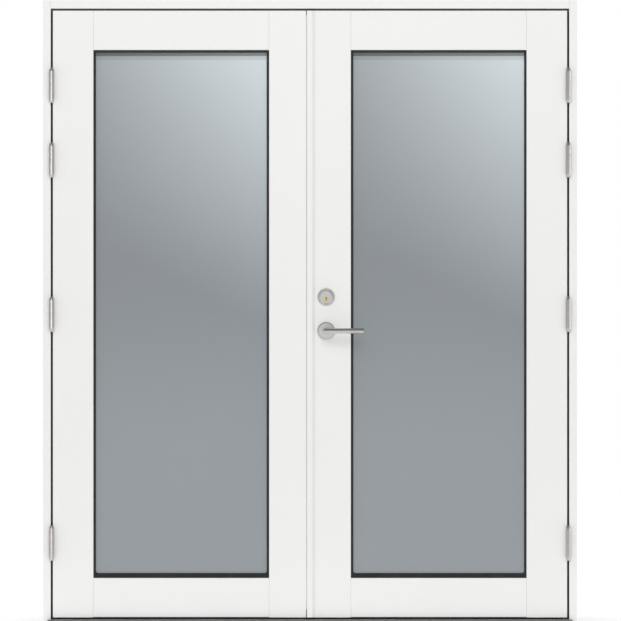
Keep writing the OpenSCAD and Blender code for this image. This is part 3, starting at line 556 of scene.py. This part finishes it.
@dataclass(frozen=True)
class Glass(Finish):
    """Glass with a coating, whose colour carries a painted reflection of a pale sky over a darker
    ground.

    The painted reflection rises from the pane's left towards its upper right, and a little towards
    its foot.
    Below the pane's head a painted shadow of the frame's lip darkens it in two steps.

    Attributes:
        foot: Tone of the painted reflection at the pane's foot.
        sky: Tone of the full painted sky reflection.
        left: x of the pane's left edge, in metres.
        width: Width of the pane.
        alpha: How much of the pane is seen, from 0 to 1.
        sky_foot: Height at which the painted sky reflection starts on the left.
        sky_slant: How much lower it starts on the right.
        sky_gain: Rise of the painted sky in a metre at the left, its growth across and the growth's
            fall.
        sky_power: How hollow the rise is.
        ground_top: Height down to which the ground keeps its tone.
        ground_foot: Height at which it has the foot's tone.
        faint_shadow_edge: Heights between which the first, paler step of the painted shadow comes
            in.
        faint_shadow_depth: How much darker that step of the painted shadow is.
        deep_shadow_edge: Heights between which the second step of the painted shadow comes in.
        deep_shadow_depth: How much darker that one is.
        film_waves: Waves of the coating's unevenness in a metre.
        ripple_waves: Ripples of the pane in a metre.
        ripple_stretch: How the ripples are stretched along each axis.
        relief: Depth of the ripples, in metres.
    """

    foot: Colour = (0.327, 0.357, 0.376)
    sky: Colour = (0.725, 0.793, 0.818)
    left: float = 0.0
    width: float = 1.0
    alpha: float = 1.0
    sky_foot: float = 1.27
    sky_slant: float = 0.285
    sky_gain: tuple[float, float, float] = (0.46, 0.9, 0.3)
    sky_power: float = 1.12
    ground_top: float = 1.25
    ground_foot: float = 0.55
    faint_shadow_edge: Pair = (1.8865, 1.8925)
    faint_shadow_depth: float = 0.19
    deep_shadow_edge: Pair = (1.9007, 1.9037)
    deep_shadow_depth: float = 0.60
    film_waves: float = 2.2
    ripple_waves: float = 3.0
    ripple_stretch: Point = (1.0, 1.0, 0.4)
    relief: float = 2.0 * MM

    def paint(self, shader: Shader) -> None:
        """Write the painted sky reflection's slanted tone, the foot's tone, the painted lip shadow
        at the head and faint ripples.

        Args:
            shader: The material's tree.
        """
        place = shader.place()
        across = (place.part("X") - self.left) / self.width
        height = place.part("Z")
        # Painted reflection: a pale sky that rises towards the pane's upper right, over a ground
        # that pales towards the foot.
        lift = (height - (self.sky_foot - across * self.sky_slant)).above(0.0)
        start, growth, fall = self.sky_gain
        sky = (lift * (start + across * (growth - across * fall))) ** self.sky_power
        ground = height.smooth(self.ground_top, self.ground_foot).between(self.colour, self.foot)
        film = shader.noise(place, self.film_waves, detail=1.0)
        # Painted shadow of the frame's lip below the pane's head, in a paler and a darker step.
        pale = height.smooth(*self.faint_shadow_edge) * self.faint_shadow_depth
        dark = height.smooth(*self.deep_shadow_edge) * self.deep_shadow_depth
        edge = (1.0 - pale) * (1.0 - dark)
        tint = sky.between(ground, self.sky) * (1.0 + film.swing(0.03)) * edge
        ripple = shader.noise(place * self.ripple_stretch, self.ripple_waves, detail=0.0)
        shader.finish({
            "Base Color": tint,
            "Roughness": self.roughness + film * 0.03,
            "Specular IOR Level": 0.5,
            "Alpha": self.alpha,
            "Normal": shader.bump(ripple, strength=0.05, depth=self.relief),
        })


WHITE: Colour = (1.0, 1.0, 1.0)
PAINT_COLOUR: Colour = (0.868, 0.868, 0.853)
STEEL_COLOUR: Colour = (0.60, 0.595, 0.582)
FACE_COLOUR: Colour = (0.80, 0.795, 0.785)
HINGE_COLOUR: Colour = (0.585, 0.566, 0.553)
BRIGHT_COLOUR: Colour = (0.66, 0.66, 0.65)
BRASS_COLOUR: Colour = (0.93, 0.78, 0.33)
RUBBER_COLOUR: Colour = (0.021, 0.022, 0.023)
GLASS_COLOUR: Colour = (0.276, 0.298, 0.319)

PAINT_UPRIGHT = Painted("Satin white paint, upright", PAINT_COLOUR, roughness=0.42)
PAINT_LEVEL = Painted(
    "Satin white paint, level", PAINT_COLOUR, roughness=0.42, grain=Grain.ALONG_X,
)
SILL_TIMBER = Timber("Oiled hardwood", (0.42, 0.27, 0.15), roughness=0.5)
# The plate's top is painted brighter than its nose: painted light on the top and painted shade on
# the nose.
ANODISED = Metal(
    "Anodised aluminium", (0.28, 0.28, 0.283), roughness=0.5, grain=Grain.ALONG_X,
    streak=0.08, lit_top_above=12.9 * MM,
)
SPACER = Metal("Dull spacer aluminium", (0.25, 0.25, 0.26), roughness=0.5)
BLACK_RUBBER = Moulded("Black rubber", RUBBER_COLOUR, roughness=0.6)
HEAD_LIT_RUBBER = Moulded("Weathered rubber", RUBBER_COLOUR, roughness=0.6, paler_above=2.052)
GREY_SEAL = Moulded("Grey seal", (0.31, 0.31, 0.30), roughness=0.65, dust=0.05)
WHITE_PLASTIC = Moulded("White plastic", (0.78, 0.78, 0.77), roughness=0.45, dust=0.05)
STEEL_UPRIGHT = Metal("Satin steel, upright", STEEL_COLOUR, roughness=0.34)
STEEL_LEVEL = Metal("Satin steel, level", STEEL_COLOUR, roughness=0.3, grain=Grain.ALONG_X)
HINGE_STEEL = Metal("Dull hinge steel", HINGE_COLOUR, roughness=0.38, streak=0.1)
BRIGHT_STEEL = Metal("Ground steel", BRIGHT_COLOUR, roughness=0.27)

EDGE_TIMBER = 0.9 * MM
EDGE_METAL = 0.35 * MM
EDGE_ANGLE = math.radians(32.0)
WELD_GAP = 0.005 * MM


def dress(node: str, finish: Finish, edge: float = 0.0) -> None:
    """Give a CAD node its finish.

    Args:
        node: Name of the node.
        finish: Finish of the whole node.
        edge: Width in metres of the soft edge that is added, or 0 for none.
    """
    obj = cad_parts[node]
    obj.data.materials.clear()
    obj.data.materials.append(finish.material())
    if edge > 0.0:
        weld = obj.modifiers.new("Weld", "WELD")
        weld.merge_threshold = WELD_GAP
        bevel = obj.modifiers.new("Soft edges", "BEVEL")
        bevel.width = edge
        bevel.segments = 2
        bevel.limit_method = "ANGLE"
        bevel.angle_limit = EDGE_ANGLE
        normals = obj.modifiers.new("Even normals", "WEIGHTED_NORMAL")
        normals.mode = "FACE_AREA"
        normals.weight = 100
    LOG.info("%s: %s", node, finish.name)


class Side(Enum):
    """A leaf's side, seen from outside."""

    LEFT = -1
    RIGHT = 1

    @property
    def word(self) -> str:
        """The side as it stands in node names."""
        return self.name.lower()


class Recess(Enum):
    """The driver recess in a screw's head, as corners at shares of the head's radius."""

    CROSS = (
        (0.56, 0.15), (0.15, 0.15), (0.15, 0.56), (-0.15, 0.56), (-0.15, 0.15), (-0.56, 0.15),
        (-0.56, -0.15), (-0.15, -0.15), (-0.15, -0.56), (0.15, -0.56), (0.15, -0.15), (0.56, -0.15),
    )
    HEX = tuple(
        (0.6 * math.cos(math.radians(turn)), 0.6 * math.sin(math.radians(turn)))
        for turn in range(0, 360, 60)
    )


@dataclass
class ScrewSet:
    """The screw heads of one body, made as one piece.

    Attributes:
        name: Name of the piece.
        body: CAD body that it rides on.
        facing: The way that the heads face.
        places: Points on the surface, in millimetres.
        head: Diameter of a head in millimetres.
        recess: Shape of the driver recess.
        finish: Finish of the heads.
        slot: Material slot in the record. It is not used.
        sides: Number of a head's sides.
        profile: Share of the radius, and height in millimetres, from a head's foot to its top.
        recess_depth: Depth of the recess, as a share of the radius.
        recess_foot: Width of the recess at its foot, as a share of its width at the top.
        turn: How much further each head is turned, in radians.
    """

    name: str
    body: str
    facing: Point
    places: Sequence[Point]
    head: float = 7.0
    recess: Recess = Recess.CROSS
    finish: Finish = BRIGHT_STEEL
    slot: str = "bright_steel"
    sides: int = 28
    profile: Sequence[Pair] = ((1.0, -0.6), (1.0, 0.05), (0.95, 0.22), (0.84, 0.28))
    recess_depth: float = 0.26
    recess_foot: float = 0.8
    turn: float = 2.4

    def _head(self) -> bmesh.types.BMesh:
        """Make one head about the origin that faces +Z.

        Returns:
            The head, in millimetres.
        """
        radius, taper = self.head / 2.0, self.recess_foot
        shape = bmesh.new()
        rings = [self._ring(shape, share * radius, height) for share, height in self.profile]
        for lower, upper in zip(rings, rings[1:]):
            self._join(shape, lower, upper)
        top, bottom = self.profile[-1][1], -self.recess_depth * radius
        corners = [(x * radius, y * radius) for x, y in self.recess.value]
        brim = [shape.verts.new((x, y, top)) for x, y in corners]
        foot = [shape.verts.new((taper * x, taper * y, bottom)) for x, y in corners]
        self._join(shape, brim, foot)
        shape.faces.new(foot)
        ends = [(loop[i - 1], loop[i]) for loop in (rings[-1], brim) for i in range(len(loop))]
        edges = [shape.edges.get(pair) or shape.edges.new(pair) for pair in ends]
        bmesh.ops.triangle_fill(shape, use_beauty=True, edges=edges, normal=(0.0, 0.0, 1.0))
        bmesh.ops.recalc_face_normals(shape, faces=shape.faces)
        return shape

    def _ring(
        self, shape: bmesh.types.BMesh, radius: float, height: float,
    ) -> list[bmesh.types.BMVert]:
        """Make a ring of vertices.

        Args:
            shape: Mesh to make it in.
            radius: Its radius.
            height: Its height.

        Returns:
            The vertices in order.
        """
        turns = [math.tau * i / self.sides for i in range(self.sides)]
        points = [(radius * math.cos(turn), radius * math.sin(turn), height) for turn in turns]
        return [shape.verts.new(point) for point in points]

    @staticmethod
    def _join(
        shape: bmesh.types.BMesh,
        lower: Sequence[bmesh.types.BMVert],
        upper: Sequence[bmesh.types.BMVert],
    ) -> None:
        """Close the band between two rings."""
        for i in range(len(lower)):
            shape.faces.new((lower[i - 1], lower[i], upper[i], upper[i - 1]))

    def build(self) -> None:
        """Make the heads, each with its recess turned a little further."""
        head = self._head()
        head.verts.index_update()
        outline = [vert.co.copy() for vert in head.verts]
        corners = [[vert.index for vert in face.verts] for face in head.faces]
        head.free()
        aim = Vector(self.facing).to_track_quat("Z", "Y").to_matrix().to_4x4()
        points: list[Vector] = []
        faces: list[list[int]] = []
        for number, place in enumerate(self.places):
            spin = Matrix.Rotation(self.turn * number, 4, "Z")
            matrix = Matrix.Translation(Vector(place)) @ aim @ spin
            first = len(points)
            points += [(matrix @ point) * MM for point in outline]
            faces += [[first + index for index in face] for face in corners]
        mesh = bpy.data.meshes.new(self.name)
        mesh.from_pydata(points, [], faces)
        mesh.materials.append(self.finish.material())
        piece = bpy.data.objects.new(self.name, mesh)
        bpy.context.scene.collection.objects.link(piece)
        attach(piece, self.body)
        LOG.info("%s: %d screws on %s", self.name, len(self.places), self.body)


class SubAssembly(ABC):
    """A group of nodes and pieces that belong together."""

    @abstractmethod
    def dress(self) -> None:
        """Give the CAD nodes their finishes."""

    def build(self) -> None:
        """Make the pieces that the solids leave out, if there are any."""


@dataclass
class Surround(SubAssembly):
    """Jambs, head, stops, seals, hinge pins and fixings.

    Attributes:
        jambs: The jambs' nodes.
        keeper: Middle of the upper bolt's keeper, on its face, in millimetres.
        keeper_reach: How far its screws sit from its middle.
    """

    jambs: tuple[str, str] = ("frame_jamb_left", "frame_jamb_right")
    keeper: Point = (-29.2, -24.5, 2061.0)
    keeper_reach: float = 21.0

    def dress(self) -> None:
        """Paint the timber, and finish seals, keeper and fixings."""
        for jamb in self.jambs:
            dress(jamb, PAINT_UPRIGHT, EDGE_TIMBER)
        dress("frame_head", PAINT_LEVEL, EDGE_TIMBER)
        dress("door_stops", PAINT_UPRIGHT, EDGE_TIMBER)
        dress("stop_gaskets", BLACK_RUBBER)
        dress("rain_seals", HEAD_LIT_RUBBER)
        dress("hinge_pins", BRIGHT_STEEL)
        dress("fixing_sleeves", BRIGHT_STEEL)
        dress("fixing_caps", WHITE_PLASTIC)
        dress("head_bolt_keeper", STEEL_LEVEL, EDGE_METAL)

    def build(self) -> None:
        """Screw the keeper to the head."""
        x, y, z = self.keeper
        places = [(x + side * self.keeper_reach, y, z) for side in (-1, 1)]
        ScrewSet("keeper_screws", "frame", (0, 0, -1), places).build()


@dataclass
class Threshold(SubAssembly):
    """Sill, threshold plate and the lower bolt's keeper.

    Attributes:
        screw_x: x of the plate's screws, in millimetres.
        screw_y: Their depth.
        screw_z: Height of the plate's top there.
        screw_head: Diameter of their heads.
        slope: The way that the plate's top faces.
    """

    screw_x: Sequence[float] = (-780.0, -520.0, -260.0, 0.0, 260.0, 520.0, 780.0)
    screw_y: float = -38.0
    screw_z: float = 13.65
    screw_head: float = 8.0
    slope: Point = (0.0, -0.0174, 1.0)

    def dress(self) -> None:
        """Oil the sill and anodise the plate."""
        dress("threshold_sill", SILL_TIMBER, EDGE_TIMBER)
        dress("sill_stop", SILL_TIMBER, EDGE_TIMBER)
        dress("threshold_plate", ANODISED, EDGE_METAL)
        dress("threshold_bolt_keeper", STEEL_LEVEL)

    def build(self) -> None:
        """Screw the plate to the sill."""
        places = [(x, self.screw_y, self.screw_z) for x in self.screw_x]
        ScrewSet("threshold_screws", "frame", self.slope, places, self.screw_head).build()


@dataclass
class Leaf(SubAssembly):
    """Joinery and glazing of one leaf.

    Attributes:
        side: The leaf's side.
        opening: Near and far edge of the glass opening from the centre line, in metres.
        panes: Each pane, and how much of it is seen, from 0 to 1.
    """

    side: Side
    opening: Pair = (0.137, 0.726)
    panes: Sequence[tuple[str, float]] = (("outer", 0.9), ("middle", 0.4), ("inner", 0.9))

    def _glass(self, pane: str, alpha: float) -> Glass:
        """The finish of one pane.

        Args:
            pane: Which pane, for the material's name.
            alpha: How much of it is seen, from 0 to 1.

        Returns:
            The finish, with the painted sky reflection placed on this leaf.
        """
        near, far = self.opening
        return Glass(
            f"Coated glass, {self.side.word} {pane}", GLASS_COLOUR, roughness=0.05,
            left=near if self.side is Side.RIGHT else -far, width=far - near, alpha=alpha,
        )

    def dress(self) -> None:
        """Paint the joinery, and finish glass, gasket, spacers and blocks."""
        word = self.side.word
        for stile in ("hinge_stile", "meeting_stile"):
            dress(f"{word}_{stile}", PAINT_UPRIGHT, EDGE_TIMBER)
        for rail in ("top_rail", "bottom_rail"):
            dress(f"{word}_{rail}", PAINT_LEVEL, EDGE_TIMBER)
        dress(f"{word}_glazing_beads", PAINT_UPRIGHT, EDGE_TIMBER)
        for pane, alpha in self.panes:
            dress(f"{word}_glass_{pane}", self._glass(pane, alpha))
        dress(f"{word}_glazing_gasket", BLACK_RUBBER)
        dress(f"{word}_glass_spacers", SPACER)
        dress(f"{word}_setting_blocks", WHITE_PLASTIC)


@dataclass
class HingeSet(SubAssembly):
    """The hinges on one side, with the screws in their plates.

    Attributes:
        side: Which side.
        heights: Middle heights of the hinges, in millimetres.
        zigzag: Depth behind a plate's front edge and height from its middle, for each screw.
        frame_face: Distance of the frame plates from the centre line, and y of their front edge.
        leaf_face: The same for the leaf plates.
        screw_head: Diameter of the screws' heads.
    """

    side: Side
    heights: Sequence[float] = (270.0, 1037.0, 1554.0, 1804.0)
    zigzag: Sequence[Pair] = ((22.0, 46.0), (10.0, 17.0), (10.0, -17.0), (22.0, -46.0))
    frame_face: Pair = (869.0, -57.5)
    leaf_face: Pair = (862.0, -55.5)
    screw_head: float = 7.5

    def dress(self) -> None:
        """Finish plates and knuckles."""
        for half in ("frame", "leaf"):
            dress(f"{self.side.word}_{half}_hinges", HINGE_STEEL, EDGE_METAL)

    def build(self) -> None:
        """Screw each plate to its timber."""
        sign = self.side.value
        self._screws("frame", "frame", self.frame_face, (-sign, 0, 0))
        self._screws("leaf", f"{self.side.word}_leaf", self.leaf_face, (sign, 0, 0))

    def _screws(self, half: str, body: str, face: Pair, facing: Point) -> None:
        """Make the screws in one side's plates.

        Args:
            half: Which half of the hinges.
            body: CAD body of that half.
            face: Distance from the centre line, and depth of the plates' front edge.
            facing: The way that the plates face.
        """
        x, front = self.side.value * face[0], face[1]
        places = [(x, front + depth, z + rise) for z in self.heights for depth, rise in self.zigzag]
        name = f"{self.side.word}_{half}_hinge_screws"
        ScrewSet(name, body, facing, places, self.screw_head).build()


@dataclass
class Lockset(SubAssembly):
    """Lever, roses, cylinder, lock case and bolts on the active leaf.

    Attributes:
        lever: x and z of the lever's axis, in metres.
        ring: x and z of the cylinder ring's axis.
        plug: x and z of the plug's axis.
        plug_front: y of the plug's front.
        shaded_rims: Radius in metres at which each turned face's painted rim shade starts, and how
            much darker it is.
        faceplate: x and y of the faceplate's front, in millimetres.
        screw_heights: Heights of the faceplate's screws.
        grub_depths: y of the grub screw in each lever's neck.
        grub_head: Diameter of a grub screw.
        neck_foot: Height of the underside of the lever's neck.
    """

    lever: Pair = (0.0541, 0.981)
    ring: Pair = (0.0541, 1.094)
    plug: Pair = (0.0541, 1.0885)
    plug_front: float = -0.068
    shaded_rims: Mapping[str, Pair] = field(default_factory=lambda: {
        "lever": (25.0 * MM, 0.27), "ring": (20.5 * MM, 0.24), "plug": (25.0 * MM, 0.27),
    })
    faceplate: Pair = (-8.367, -24.5)
    screw_heights: Sequence[float] = (337.0, 440.0, 740.0, 915.0, 1165.0, 1440.0, 1634.0, 1737.0)
    grub_depths: Pair = (-76.0, 27.0)
    grub_head: float = 5.0
    neck_foot: float = 972.0

    def _turned(self, axis: str, centre: Pair) -> Metal:
        """The finish of pieces that are turned about an axis.

        Args:
            axis: Name of the axis.
            centre: Its x and z, in metres.

        Returns:
            The finish, with its painted rim shade.
        """
        rim, shade = self.shaded_rims[axis]
        return Metal(
            f"Satin steel, turned about the {axis}", FACE_COLOUR, roughness=0.33,
            turned_about=centre, rim=rim, rim_shade=shade,
        )

    def dress(self) -> None:
        """Finish the lock's pieces, each turned one about its own axis."""
        about_lever = self._turned("lever", self.lever)
        about_ring = self._turned("ring", self.ring)
        about_plug = self._turned("plug", self.plug)
        # The brass is painted dark behind the plug's front: painted shade in the keyway.
        brass = Metal(
            "Polished brass", BRASS_COLOUR, roughness=0.24,
            turned_about=self.plug, streak=0.08, grime_behind=self.plug_front + 0.3 * MM,
        )
        for rose in ("outer_rose", "inner_rose"):
            dress(rose, about_lever, EDGE_METAL)
        dress("cylinder_ring", about_ring, EDGE_METAL)
        dress("turn_rose", about_plug, EDGE_METAL)
        dress("cylinder_housing", about_ring, EDGE_METAL)
        dress("lock_plug", brass, EDGE_METAL)
        for lever in ("outer_lever", "inner_lever"):
            dress(lever, STEEL_LEVEL, EDGE_METAL)
        dress("thumb_turn", STEEL_UPRIGHT, EDGE_METAL)
        dress("lock_faceplate", STEEL_UPRIGHT, EDGE_METAL)
        for node in ("lever_spindle", "lock_follower", "lock_bolts", "lock_case"):
            dress(node, BRIGHT_STEEL, EDGE_METAL)

    def build(self) -> None:
        """Screw the faceplate to the stile, and put a grub screw in each lever's neck."""
        x, y = self.faceplate
        plate = [(x, y, z) for z in self.screw_heights]
        necks = [(self.lever[0] / MM, depth, self.neck_foot) for depth in self.grub_depths]
        ScrewSet("faceplate_screws", "right_leaf", (-1, 0, 0), plate).build()
        ScrewSet(
            "lever_grub_screws", "lever", (0, 0, -1), necks, self.grub_head, Recess.HEX,
        ).build()


@dataclass
class MeetingEdge(SubAssembly):
    """Astragal, meeting seal, and the strikes and flush bolts on the inactive leaf.

    Attributes:
        plate: x and y of the plates' fronts, in millimetres.
        strike_heights: Heights of the strikes' screws.
        bolt_heights: Heights of the flush bolt plates' screws.
    """

    plate: Pair = (-15.233, -24.5)
    strike_heights: Sequence[float] = (340.0, 420.0, 993.0, 1073.0, 1654.0, 1734.0)
    bolt_heights: Sequence[float] = (56.0, 204.0, 1870.0, 2018.0)

    def dress(self) -> None:
        """Paint the astragal, and finish seal, strikes and flush bolts."""
        dress("astragal", PAINT_UPRIGHT, EDGE_TIMBER)
        dress("meeting_seal", GREY_SEAL)
        for plates in ("left_strike_plates", "left_flush_bolt_plates"):
            dress(plates, STEEL_UPRIGHT, EDGE_METAL)
        for bolt in ("top_flush_bolt", "bottom_flush_bolt"):
            dress(bolt, BRIGHT_STEEL, EDGE_METAL)

    def build(self) -> None:
        """Screw the plates to the stile."""
        x, y = self.plate
        places = [(x, y, z) for z in (*self.strike_heights, *self.bolt_heights)]
        ScrewSet("meeting_plate_screws", "left_leaf", (1, 0, 0), places).build()


@dataclass
class Softbox:
    """A rectangular lamp.

    Attributes:
        name: Name of the lamp.
        at: Its middle, in metres.
        target: The point that it faces.
        size: Width and height.
        power: Watts.
        lights_surfaces: Whether it lights matt surfaces.
        shows_in_metal: Whether it is seen in reflections.
        only_on: CAD nodes that it lights, or none for all of them.
    """

    name: str
    at: Point
    target: Point
    size: Pair
    power: float
    lights_surfaces: bool = True
    shows_in_metal: bool = False
    only_on: Sequence[str] = ()

    def build(self) -> None:
        """Hang the lamp."""
        lamp = bpy.data.lights.new(self.name, "AREA")
        lamp.shape = "RECTANGLE"
        lamp.size, lamp.size_y = self.size
        lamp.energy = self.power
        obj = bpy.data.objects.new(self.name, lamp)
        obj.location = self.at
        aim = Vector(self.target) - Vector(self.at)
        obj.rotation_euler = aim.to_track_quat("-Z", "Y").to_euler()
        obj.visible_camera = False
        obj.visible_diffuse = self.lights_surfaces
        obj.visible_glossy = self.shows_in_metal
        if self.only_on:
            lit = bpy.data.collections.new(f"{self.name}_lights")
            for node in self.only_on:
                lit.objects.link(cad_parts[node])
            obj.light_linking.receiver_collection = lit
        bpy.context.scene.collection.objects.link(obj)
        LOG.info("lamp %s: %.0f W", self.name, self.power)


@dataclass
class Studio:
    """A pale floor, a white surround, soft light and the camera.

    Attributes:
        fill_front: Light on matt surfaces from the surround before and behind the doors.
        fill_left: Light from its left side.
        fill_right: Light from its right side.
        mirrored_front: Tone that metal shows of the surround before and behind the doors.
        mirrored_sides: Tone that it shows of the sides.
        mirrored_ceiling: Tone that it shows of the ceiling.
        front_limits: Share of Y in a direction where the front starts, and where it is full.
        right_limits: Share of X where the right side starts, and where it is full.
        ceiling_limits: Share of Z where the ceiling starts, and where it is full.
        floor_half: Half the floor's width, in metres.
        floor_tone: The floor's own tone.
        patch: Shares of x and y in the distance from the doors.
        patch_reach: Distance at which the patch round the doors ends, and at which it is full.
        glow: Light that the floor gives back everywhere.
        patch_glow: Glow that it gives off besides on the patch, painted light on the doors' feet.
        white: What the camera sees besides, so that the floor is white.
        patch_shadow: How much less the camera sees on the patch, so that the shadow stays.
        lamps: The softboxes.
        eye: The camera's place.
        view_width: Width of the view at the leaves' faces.
        face_y: Depth of those faces.
        sensor: Width of the camera's sensor, in millimetres.
        sight: How far the camera sees, in metres.
    """

    fill_front: Colour = (0.875, 0.875, 0.875)
    fill_left: Colour = (0.66, 0.66, 0.66)
    fill_right: Colour = (0.06, 0.06, 0.06)
    mirrored_front: Colour = WHITE
    mirrored_sides: Colour = (0.5, 0.5, 0.5)
    mirrored_ceiling: Colour = (0.21, 0.21, 0.215)
    front_limits: Pair = (0.1, 0.75)
    right_limits: Pair = (-0.7, 0.7)
    ceiling_limits: Pair = (-0.22, 0.42)
    floor_half: float = 20.0
    floor_tone: Colour = (0.86, 0.86, 0.86)
    patch: Point = (0.45, 1.0, 0.0)
    patch_reach: Pair = (1.3, 0.3)
    glow: float = 0.2
    patch_glow: float = 0.26
    white: float = 0.31
    patch_shadow: float = 0.47
    lamps: Sequence[Softbox] = field(default_factory=lambda: (
        Softbox("key", (0.0, -4.5, 4.2), (0.0, 0.0, 1.2), (3.2, 2.2), 70.0),
        Softbox("back", (0.0, 4.5, 4.2), (0.0, 0.0, 1.2), (3.2, 2.2), 50.0),
        Softbox(
            "hinge_card", (-1.8, -3.6, 1.1), (-0.87, 0.0, 1.1), (1.6, 3.2), 42.0,
            lights_surfaces=False, shows_in_metal=True,
            only_on=("left_frame_hinges", "left_leaf_hinges"),
        ),
        Softbox(
            "hinge_card_right", (3.4, -0.3, 1.1), (0.87, -0.07, 1.1), (0.7, 3.2), 28.0,
            lights_surfaces=False, shows_in_metal=True,
            only_on=("right_frame_hinges", "right_leaf_hinges"),
        ),
    ))
    eye: Point = (0.0017, -30.0, 1.049)
    view_width: float = 2.0816
    face_y: float = -0.0555
    sensor: float = 36.0
    sight: float = 200.0

    def build(self) -> None:
        """Set up floor, surround, lamps, camera and colour management."""
        self._floor()
        self._surround()
        for lamp in self.lamps:
            lamp.build()
        self._camera()
        bpy.context.scene.view_settings.view_transform = "Standard"
        LOG.info("studio: %d lamps", len(self.lamps))

    def _floor(self) -> None:
        """Lay the floor, which stays white but keeps the doors' shadow."""
        mesh = bpy.data.meshes.new("floor")
        signs = ((-1, -1), (1, -1), (1, 1), (-1, 1))
        corners = [(x * self.floor_half, y * self.floor_half, 0.0) for x, y in signs]
        mesh.from_pydata(corners, [], [(0, 1, 2, 3)])
        material = bpy.data.materials.new("Pale floor")
        material.use_nodes = True
        shader = Shader(material.node_tree)
        camera = shader.node("ShaderNodeLightPath", {}, {}, "Is Camera Ray")
        # Near the doors the floor glows more, painted light on the doors' feet; the camera sees
        # less of it there so that the shadow stays.
        near = (shader.place() * self.patch).length().smooth(*self.patch_reach)
        seen = camera * (self.white - near * self.patch_shadow)
        shader.finish({
            "Base Color": self.floor_tone,
            "Roughness": 0.9,
            "Specular IOR Level": 0.1,
            "Emission Color": (self.glow + near * self.patch_glow + seen) * WHITE,
            "Emission Strength": 1.0,
        })
        mesh.materials.append(material)
        floor = bpy.data.objects.new("floor", mesh)
        bpy.context.scene.collection.objects.link(floor)

    def _surround(self) -> None:
        """Light the doors' two faces, with darker sides and a dark ceiling in the metal."""
        world = bpy.data.worlds.new("studio")
        world.use_nodes = True
        shader = Shader(world.node_tree)
        towards = shader.node("ShaderNodeTexCoord", {}, {}, "Generated")
        front = abs(towards.part("Y")).smooth(*self.front_limits)
        right = towards.part("X").smooth(*self.right_limits)
        ceiling = towards.part("Z").smooth(*self.ceiling_limits)
        around = front.between(self.mirrored_sides, self.mirrored_front)
        mirrored = ceiling.between(around, self.mirrored_ceiling)
        fill = front.between(right.between(self.fill_left, self.fill_right), self.fill_front)
        camera, glossy, through = (
            shader.node("ShaderNodeLightPath", {}, {}, f"Is {ray} Ray")
            for ray in ("Camera", "Glossy", "Transmission")
        )
        seen = (camera + through).between(glossy.between(fill, mirrored), WHITE)
        background = shader.node("ShaderNodeBackground", {}, {"Color": seen})
        shader.make("ShaderNodeOutputWorld", {}, {"Surface": background})
        bpy.context.scene.world = world

    def _camera(self) -> None:
        """Look straight at the doors through a long lens."""
        data = bpy.data.cameras.new("camera")
        data.sensor_width = self.sensor
        data.lens = self.sensor * (self.face_y - self.eye[1]) / self.view_width
        data.clip_end = self.sight
        camera = bpy.data.objects.new("camera", data)
        camera.location = self.eye
        camera.rotation_euler = (math.radians(90.0), 0.0, 0.0)
        bpy.context.scene.collection.objects.link(camera)
        bpy.context.scene.camera = camera


@dataclass
class FrenchDoors:
    """The whole part.

    Attributes:
        assemblies: Its sub-assemblies, in the order in which they are dressed.
    """

    assemblies: Sequence[SubAssembly] = field(default_factory=lambda: (
        Surround(), Threshold(), Leaf(Side.LEFT), Leaf(Side.RIGHT),
        HingeSet(Side.LEFT), HingeSet(Side.RIGHT), Lockset(), MeetingEdge(),
    ))

    def build(self) -> None:
        """Dress every node and make every added piece."""
        for assembly in self.assemblies:
            assembly.dress()
            assembly.build()
            LOG.info("%s: done", type(assembly).__name__)


def main() -> None:
    """Build the doors in their studio."""
    logging.basicConfig(level=logging.INFO, format="%(message)s")
    doors = FrenchDoors()
    doors.build()
    Studio().build()


if __name__ == "__main__":
    main()
